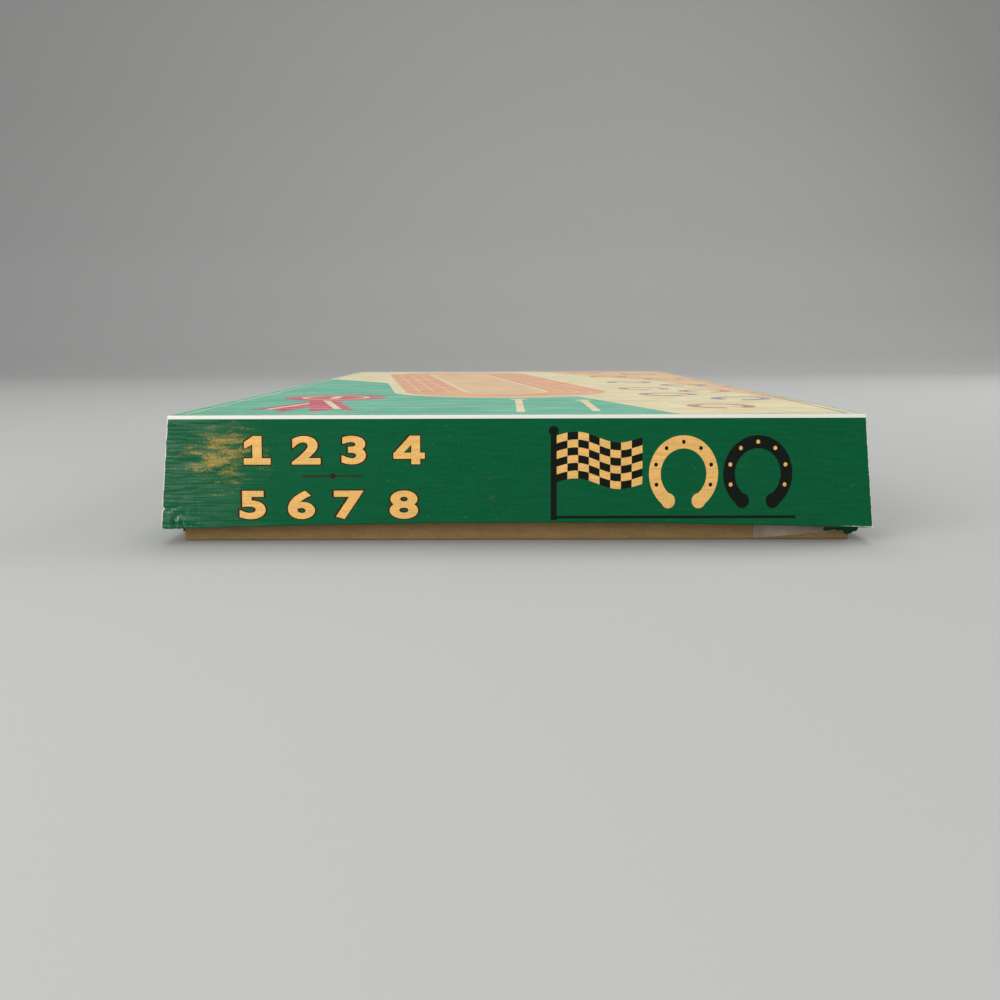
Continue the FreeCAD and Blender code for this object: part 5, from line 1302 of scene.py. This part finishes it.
def crumple_corner(vert):
    """Pushes one vertex in where the front left foot is crushed, and says how creased it is."""
    away = math.hypot(
        vert.co.x + skirt_half(WRAP_WIDTH, vert.co.z),
        vert.co.y + skirt_half(WRAP_LENGTH, vert.co.z),
    )
    height = vert.co.z - WRAP_FOOT
    crush = max(0.0, 1.0 - away / CRUSH_REACH) * max(0.0, 1.0 - height / CRUSH_HEIGHT)
    swell = noise.noise(Vector((vert.co.x * 230, vert.co.y * 230, vert.co.z * 150)))
    ridge = 1.0 - min(1.0, 4.5 * abs(swell))
    inward = (0.15 + 1.3 * ridge) * crush * MM
    vert.co += Vector((inward, inward, 0.35 * MM * crush * ridge))
    return ridge * crush


cut_sheet(bm)
cut_across(bm, 2, BARE_STRIP / MM)
for vert in bm.verts:
    half_x = skirt_half(WRAP_WIDTH, vert.co.z)
    half_y = skirt_half(WRAP_LENGTH, vert.co.z)
    gaps = sorted(
        (half_x - abs(vert.co.x), half_y - abs(vert.co.y), max(WRAP_TOP - vert.co.z, 0.0))
    )
    vert[fold_wear_and_crease_highlight] = max(0.0, 1.25 - gaps[1] / WEAR_BAND)
    if vert.co.z < WRAP_FOOT + 0.2 * MM and gaps[1] > WEAR_BAND:
        vert[fold_wear_and_crease_highlight] = 0.62
# Along the crushed corner's creases the paper turns pale: partly cracked paper, partly a painted
# highlight where the creases catch the light.
for vert in bm.verts:
    fold = crumple_corner(vert)
    if fold > 0.0:
        vert[fold_wear_and_crease_highlight] = max(vert[fold_wear_and_crease_highlight], 1.2 * fold)
for face in bm.faces:
    centre = face.calc_center_median()
    on_end = abs(face.normal.y) > 0.5
    face.material_index = 1 if on_end and centre.z > BARE_STRIP else 0
    if face.normal.z > 0.5:
        face.material_index = 2
fold_edges = [
    e
    for e in bm.edges
    if len(e.link_faces) == 2
    and e.calc_face_angle(0.0) > 1.0
    and not at_crush((e.verts[0].co + e.verts[1].co) / 2)
]
ease_edges(bm, fold_edges, 0.3 * MM, 2)
for vert in bm.verts:
    arch(vert)
foot = [e for e in bm.edges if e.is_boundary]
for vert in {v for e in foot for v in e.verts}:
    vert.co.z += 0.5 * MM
for inset, rise in (
    (0.15 * MM, -0.35 * MM), (0.35 * MM, -0.15 * MM), (HEM_INSET - 0.5 * MM, 0.0), (0.0, HEM_HEIGHT)
):
    turned = bmesh.ops.extrude_edge_only(bm, edges=foot)["geom"]
    for vert in verts_of(turned):
        vert.co.x -= math.copysign(inset, vert.co.x)
        vert.co.y -= math.copysign(inset, vert.co.y)
        vert.co.x -= math.copysign(rise * SPLAY / (WRAP_TOP - WRAP_FOOT), vert.co.x)
        vert.co.y -= math.copysign(rise * SPLAY / (WRAP_TOP - WRAP_FOOT), vert.co.y)
        vert.co.z += rise
        vert[fold_wear_and_crease_highlight] = 0.0
    foot = [g for g in turned if isinstance(g, bmesh.types.BMEdge)]
wrap = new_piece("printed_wrap", bm, [wrap_green, wrap_bare, wrap_top], "lid")
sheet = wrap.modifiers.new("paper", "SOLIDIFY")
sheet.thickness = 0.2 * MM
sheet.offset = -1.0
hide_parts("lid_wrap")


# Lid board: the same chipboard in a greyer tone, bare inside the lid.
# Its lower edge follows the wrap's, which is bowed up a little by wear.
LID_BOARD, WRAP_SKIN = 1.5 * MM, 0.3 * MM

bm = bmesh.new()
add_lid_box(bm, WRAP_SKIN)
cut_sheet(bm)
for vert in bm.verts:
    crumple_corner(vert)
    arch(vert)
board_finish = make_chipboard("grey chipboard", "#a3937c", "#b8a993", "#847563")
shell = new_piece("lid_shell_board", bm, [board_finish], "lid")
ply = shell.modifiers.new("board", "SOLIDIFY")
ply.thickness = LID_BOARD
ply.offset = -1.0
ply.thickness_clamp = 0.5
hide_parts("lid_board")


# Printed design on the lid: cream, black, crimson and peach inks over the green.
# The end wall has two rows of race numbers, a chequered flag and two horseshoes.
WALL_RISE = (WRAP_TOP - WRAP_FOOT) / MM
wall_lean = math.atan2(SPLAY / MM, WALL_RISE)
floor_reach = WRAP_LENGTH / 2 + math.tan(wall_lean) * WRAP_TOP
end_wall = Matrix(
    (
        (1, 0, 0, 0),
        (0, math.sin(wall_lean), -math.cos(wall_lean), -floor_reach),
        (0, math.cos(wall_lean), math.sin(wall_lean), 0),
        (0, 0, 0, 1),
    )
)
cream_print = make_print("cream print", "#f4bf6f")
black_print = make_print("black print", "#10160f")
brown_print = make_print("brown outline print", "#3a2413")


def add_horseshoe(builder, centre, radius, ink, holes, layer=0, squash=0.9, turn=0.0):
    """A horseshoe with its heels down, and seven nail holes in another ink."""
    known = set(builder.verts)
    add_arc(builder, (0, 0), (0.66 * radius, radius), -58.0, 296.0, ink, layer, steps=44)
    for heel in (-58.0, 238.0):
        heel_at = (
            0.83 * radius * math.cos(math.radians(heel)),
            0.83 * radius * math.sin(math.radians(heel)),
        )
        add_round(builder, heel_at, 0.2 * radius, ink, layer + 0.5, segments=20)
    for index in range(7):
        angle = math.radians(-20.0 + index * 220.0 / 6)
        hole = (0.83 * radius * math.cos(angle), 0.83 * radius * math.sin(angle))
        add_round(builder, hole, 0.055 * radius, holes, layer + 1, segments=12)
    fresh = [v for v in builder.verts if v not in known]
    bmesh.ops.scale(builder, verts=fresh, vec=(squash, 1, 1))
    bmesh.ops.rotate(builder, verts=fresh, cent=(0, 0, 0), matrix=Matrix.Rotation(turn, 3, "Z"))
    bmesh.ops.translate(builder, verts=fresh, vec=(*centre, 0))


def add_one(builder, centre, height, grow, ink, layer):
    """A slab-footed figure one, which the plain alphabet draws too thin."""
    x, low = centre[0], centre[1] - height / 2
    top = low + height + grow
    add_patch(builder, (x - 1.7 - grow, x + 1.7 + grow), (low - grow, top), ink, layer)
    add_patch(
        builder, (x - 4.9 - grow, x + 4.9 + grow), (low - grow, low + 2.3 + grow), ink, layer + 0.2
    )
    flag = [
        (x - 1.4, top),
        (x - 4.7 - grow, top - 2.2),
        (x - 4.7 - grow, top - 4.7 - 2 * grow),
        (x - 1.4, top - 2.9 - 2 * grow),
    ]
    add_outline(builder, flag, ink, layer + 0.1)


def add_four(builder, centre, height, grow, ink, layer):
    """A broad figure four with an open counter."""
    x, low = centre[0], centre[1] - height / 2
    top = low + height + grow
    add_patch(builder, (x + 0.9 - grow, x + 4.1 + grow), (low - grow, top), ink, layer)
    bar = (low + 2.0 - grow, low + 4.2 + grow)
    add_patch(builder, (x - 5.6 - grow, x + 5.8 + grow), bar, ink, layer + 0.2)
    slope = [
        (x - 5.6 - grow, bar[1] - 0.3),
        (x - 2.2 + grow, bar[1] - 0.3),
        (x + 4.0 + grow, top),
        (x + 0.4 - 1.4 * grow, top),
    ]
    add_outline(builder, slope, ink, layer + 0.1)


SLAB_FIGURES = {"1": add_one, "4": add_four}
NUMBER_HEIGHT = 9.4
WALL_INKS = [cream_print, brown_print, black_print]


def add_race_number(builder, number, place_x, level):
    """One cream race number with a brown outline, standing on a level of the wall."""
    centre = (place_x, level + 0.5 + NUMBER_HEIGHT / 2)
    for grow, ink in ((0.45, 1), (0.0, 0)):
        if number in SLAB_FIGURES:
            SLAB_FIGURES[number](builder, centre, NUMBER_HEIGHT + 1.0, grow, ink, 1 - ink)
        else:
            add_numeral(
                builder, number, centre, NUMBER_HEIGHT, 0.5 + grow, ink, 1 - ink, width=1.52
            )


def add_flag(builder, foot_x, foot, top):
    """A black pole and a waving flag with six rows of eight checks."""
    length, depth, columns, rows = 31.2, 17.0, 24, 6
    add_patch(builder, (foot_x, foot_x + 2.2), (foot, top), ink=2)
    add_round(builder, (foot_x + 1.1, top + 0.8), 1.8, ink=2, layer=1)
    grid = bmesh.ops.create_grid(builder, x_segments=columns, y_segments=rows, size=0.5)["verts"]
    for face in faces_of(grid):
        centre = face.calc_center_median()
        column, row = int((centre.x + 0.5) * columns) // 3, int((centre.y + 0.5) * rows)
        face.material_index = 0 if (column + row) % 2 else 2
    for vert in grid:
        share_x, share_y = vert.co.x + 0.5, vert.co.y + 0.5
        wave = 1.7 * math.sin(share_x * 6.6) - 1.2 * share_x
        vert.co.x = foot_x + 2.2 + share_x * length
        vert.co.y = top - 17.9 + share_y * depth + wave


for name, turn in (("end_wall_print", 0.0), ("far_end_wall_print", math.pi)):
    bm = bmesh.new()
    for numbers, places_x, level in (
        ("1234", (-94.5, -76.6, -59.2, -39.1), 29.2), ("5678", (-96.5, -78.6, -61.2, -41.1), 9.2)
    ):
        for number, place_x in zip(numbers, places_x):
            add_race_number(bm, number, place_x, level)
    add_patch(bm, (-78.0, -56.0), (24.6, 25.2), ink=1)
    add_round(bm, (-67.0, 24.9), 1.1, ink=1, layer=1)
    add_flag(bm, 12.6, 8.6, 40.4)
    add_horseshoe(bm, (61.0, 25.5), 14.0, ink=0, holes=2)
    add_horseshoe(bm, (88.0, 25.5), 14.0, ink=2, holes=0)
    add_patch(bm, (14.8, 102.0), (9.2, 10.2), ink=2)
    lift = Matrix.Translation((0, 0, INK_LIFT * MM))
    where = Matrix.Rotation(turn, 4, "Z") @ end_wall @ lift
    lay_ink(name, bm, where, WALL_INKS, "lid")

# The long walls carry the race numbers in one row between two flags.
side_reach = WRAP_WIDTH / 2 + math.tan(wall_lean) * WRAP_TOP
side_wall = end_wall.copy()
side_wall[1][3] = -side_reach
for name, turn in (("left_wall_print", -math.pi / 2), ("right_wall_print", math.pi / 2)):
    bm = bmesh.new()
    for index in range(8):
        add_race_number(bm, str(index + 1), (index - 3.5) * 31.0, 19.4)
    for x in (-184.0, 150.0):
        add_flag(bm, x, 9.2, 40.4)
    for level in (9.2, 39.2):
        add_patch(bm, (-134.0, 134.0), (level, level + 1.0), ink=2)
    where = Matrix.Rotation(turn, 4, "Z") @ side_wall @ lift
    lay_ink(name, bm, where, WALL_INKS, "lid")


# Printed design on the lid's top: a plan of an oval course in peach and cream, a crimson
# rosette, slim marker posts, and a slanting cream ground with small horseshoes.
peach_print = make_print("peach print", "#f5a873", gloss=TOP_GLOSS)
crimson_print = make_print("crimson print", "#d43459", gloss=TOP_GLOSS)
pale_print = make_print("pale cream print", "#f7e6b0", gloss=TOP_GLOSS)
brick_print = make_print("brick print", "#d97c66", gloss=TOP_GLOSS)
lilac_print = make_print("lilac grey print", "#9c90a0", gloss=TOP_GLOSS)
apricot_print = make_print("apricot print", "#f5c68c", gloss=TOP_GLOSS)
TOP_INKS = [pale_print, peach_print, crimson_print, brick_print, lilac_print, apricot_print]
EDGE_X, EDGE_Y = 125.4, 252.4
bm = bmesh.new()
cream_ground = [
    (60.0, -EDGE_Y), (EDGE_X, -EDGE_Y), (EDGE_X, EDGE_Y), (-EDGE_X, EDGE_Y), (-EDGE_X, 96.0),
    (28.0, -120.0),
]
far_ground = [(EDGE_X, -200.0), (EDGE_X, EDGE_Y), (20.0, EDGE_Y), (96.0, 40.0)]
add_outline(bm, cream_ground)
add_outline(bm, far_ground, ink=5, layer=1)
course = bmesh.ops.create_circle(bm, cap_ends=True, segments=96, radius=58.0)["verts"]
for vert in course:
    vert.co.y += 132.0 if vert.co.y > 0 else -132.0
bmesh.ops.rotate(bm, verts=course, cent=(0, 0, 0), matrix=Matrix.Rotation(0.14, 3, "Z"))
bmesh.ops.translate(bm, verts=course, vec=(-22.0, 46.0, 2 * INK_STEP))
plan = faces_of(course)
paint(plan, 0)
for thickness, ink in ((6.0, 0), *[(7.0, 1), (0.6, 0)] * 3, (7.0, 1), (2.4, 0)):
    rings = bmesh.ops.inset_individual(bm, faces=plan, thickness=thickness)["faces"]
    paint(rings, ink)
paint(plan, 5)
rosette = (-84.0, -138.0)
for lean, layer in ((-1, 1), (1, 1.5)):
    tail = [
        (rosette[0] + lean * 2.0, rosette[1] - 14.0),
        (rosette[0] + lean * 22.0, rosette[1] - 92.0),
        (rosette[0] + lean * 14.0, rosette[1] - 80.0),
        (rosette[0] + lean * 5.0, rosette[1] - 96.0),
        (rosette[0] - lean * 10.0, rosette[1] - 14.0),
    ]
    add_outline(bm, tail, 2, layer)
    stripe = [
        (rosette[0] - lean * 1.0, rosette[1] - 16.0),
        (rosette[0] + lean * 15.4, rosette[1] - 83.0),
        (rosette[0] + lean * 12.6, rosette[1] - 83.0),
        (rosette[0] - lean * 4.0, rosette[1] - 16.0),
    ]
    add_outline(bm, stripe, 0, layer + 0.3)
pleats = add_round(bm, rosette, 25.0, ink=2, layer=2, segments=60)
for index, vert in enumerate(pleats):
    if index % 2:
        vert.co.x += 0.1 * (rosette[0] - vert.co.x)
        vert.co.y += 0.1 * (rosette[1] - vert.co.y)
add_round(bm, rosette, 16.0, ink=0, layer=3)
add_round(bm, rosette, 13.6, ink=2, layer=4)
add_numeral(bm, "1", rosette, 16.0, 1.0, ink=0, layer=5)
for x, y in ((2.0, (-240.0, -156.0)), (31.0, (-235.0, -165.0))):
    add_patch(bm, (x - 1.6, x + 1.6), y, ink=0, layer=3)
    add_round(bm, (x, y[1]), 4.0, ink=0, layer=4)
for x, y, ink, turn in (
    (84.0, -206.0, 3, 0.3), (104.0, -152.0, 4, -0.5), (76.0, -116.0, 4, 0.8),
    (100.0, -84.0, 3, -0.2), (72.0, -56.0, 3, 0.5), (101.0, -12.0, 4, 0.2), (74.0, 30.0, 4, -0.7),
    (104.0, 84.0, 3, 0.4), (70.0, 128.0, 3, 0.1), (98.0, 178.0, 4, 0.6), (60.0, 214.0, 4, -0.3),
):
    add_horseshoe(bm, (x, y), 15.0, ink=ink, holes=0, layer=3, turn=turn)
for x in (-1, 1):
    add_patch(bm, sorted((x * 121.4, x * 122.4)), (-248.4, 248.4), ink=4 if x > 0 else 0, layer=5)
for y in (-1, 1):
    add_patch(bm, (-121.4, 121.4), sorted((y * 247.4, y * 248.4)), ink=0 if y < 0 else 4, layer=5)
lay_ink(
    "lid_top_print",
    bm,
    Matrix.Translation((0, 0, WRAP_TOP + 0.01 * MM)),
    TOP_INKS,
    "lid",
)


# Loose scrap: a torn end of the wrap's turned-in hem hangs under the front right corner.
# It is the same green paper, crumpled.
bm = bmesh.new()
scrap = bmesh.ops.create_grid(bm, x_segments=16, y_segments=4, size=0.5)["verts"]
for vert in scrap:
    share_x, share_y = vert.co.x + 0.5, vert.co.y + 0.5
    torn = noise.noise(Vector((share_x * 5.0, 3.0, 0.0)))
    drop = (1.3 + 1.1 * torn + (1.1 if 0.62 < share_x < 0.84 else 0.0)) * (1.0 - share_y)
    crumple = 0.35 * noise.noise(Vector((share_x * 6.0, share_y * 3.0, 1.5)))
    vert.co = Vector((112.7 + 12.6 * share_x, -256.2 + crumple + 0.5 * (1.0 - share_y), 5.6 - drop))
bmesh.ops.scale(bm, verts=bm.verts, vec=(MM, MM, MM))
bmesh.ops.recalc_face_normals(bm, faces=bm.faces)
# The scrap's ink is darker than the wrap's green: painted shade, for the shadow it hangs in under
# the lid.
shaded_green = make_print("green print darkened as painted shade", "#00301d")
torn_hem = new_piece("torn_hem_scrap", bm, [shaded_green], "lid")
ply = torn_hem.modifiers.new("paper", "SOLIDIFY")
ply.thickness = 0.12 * MM
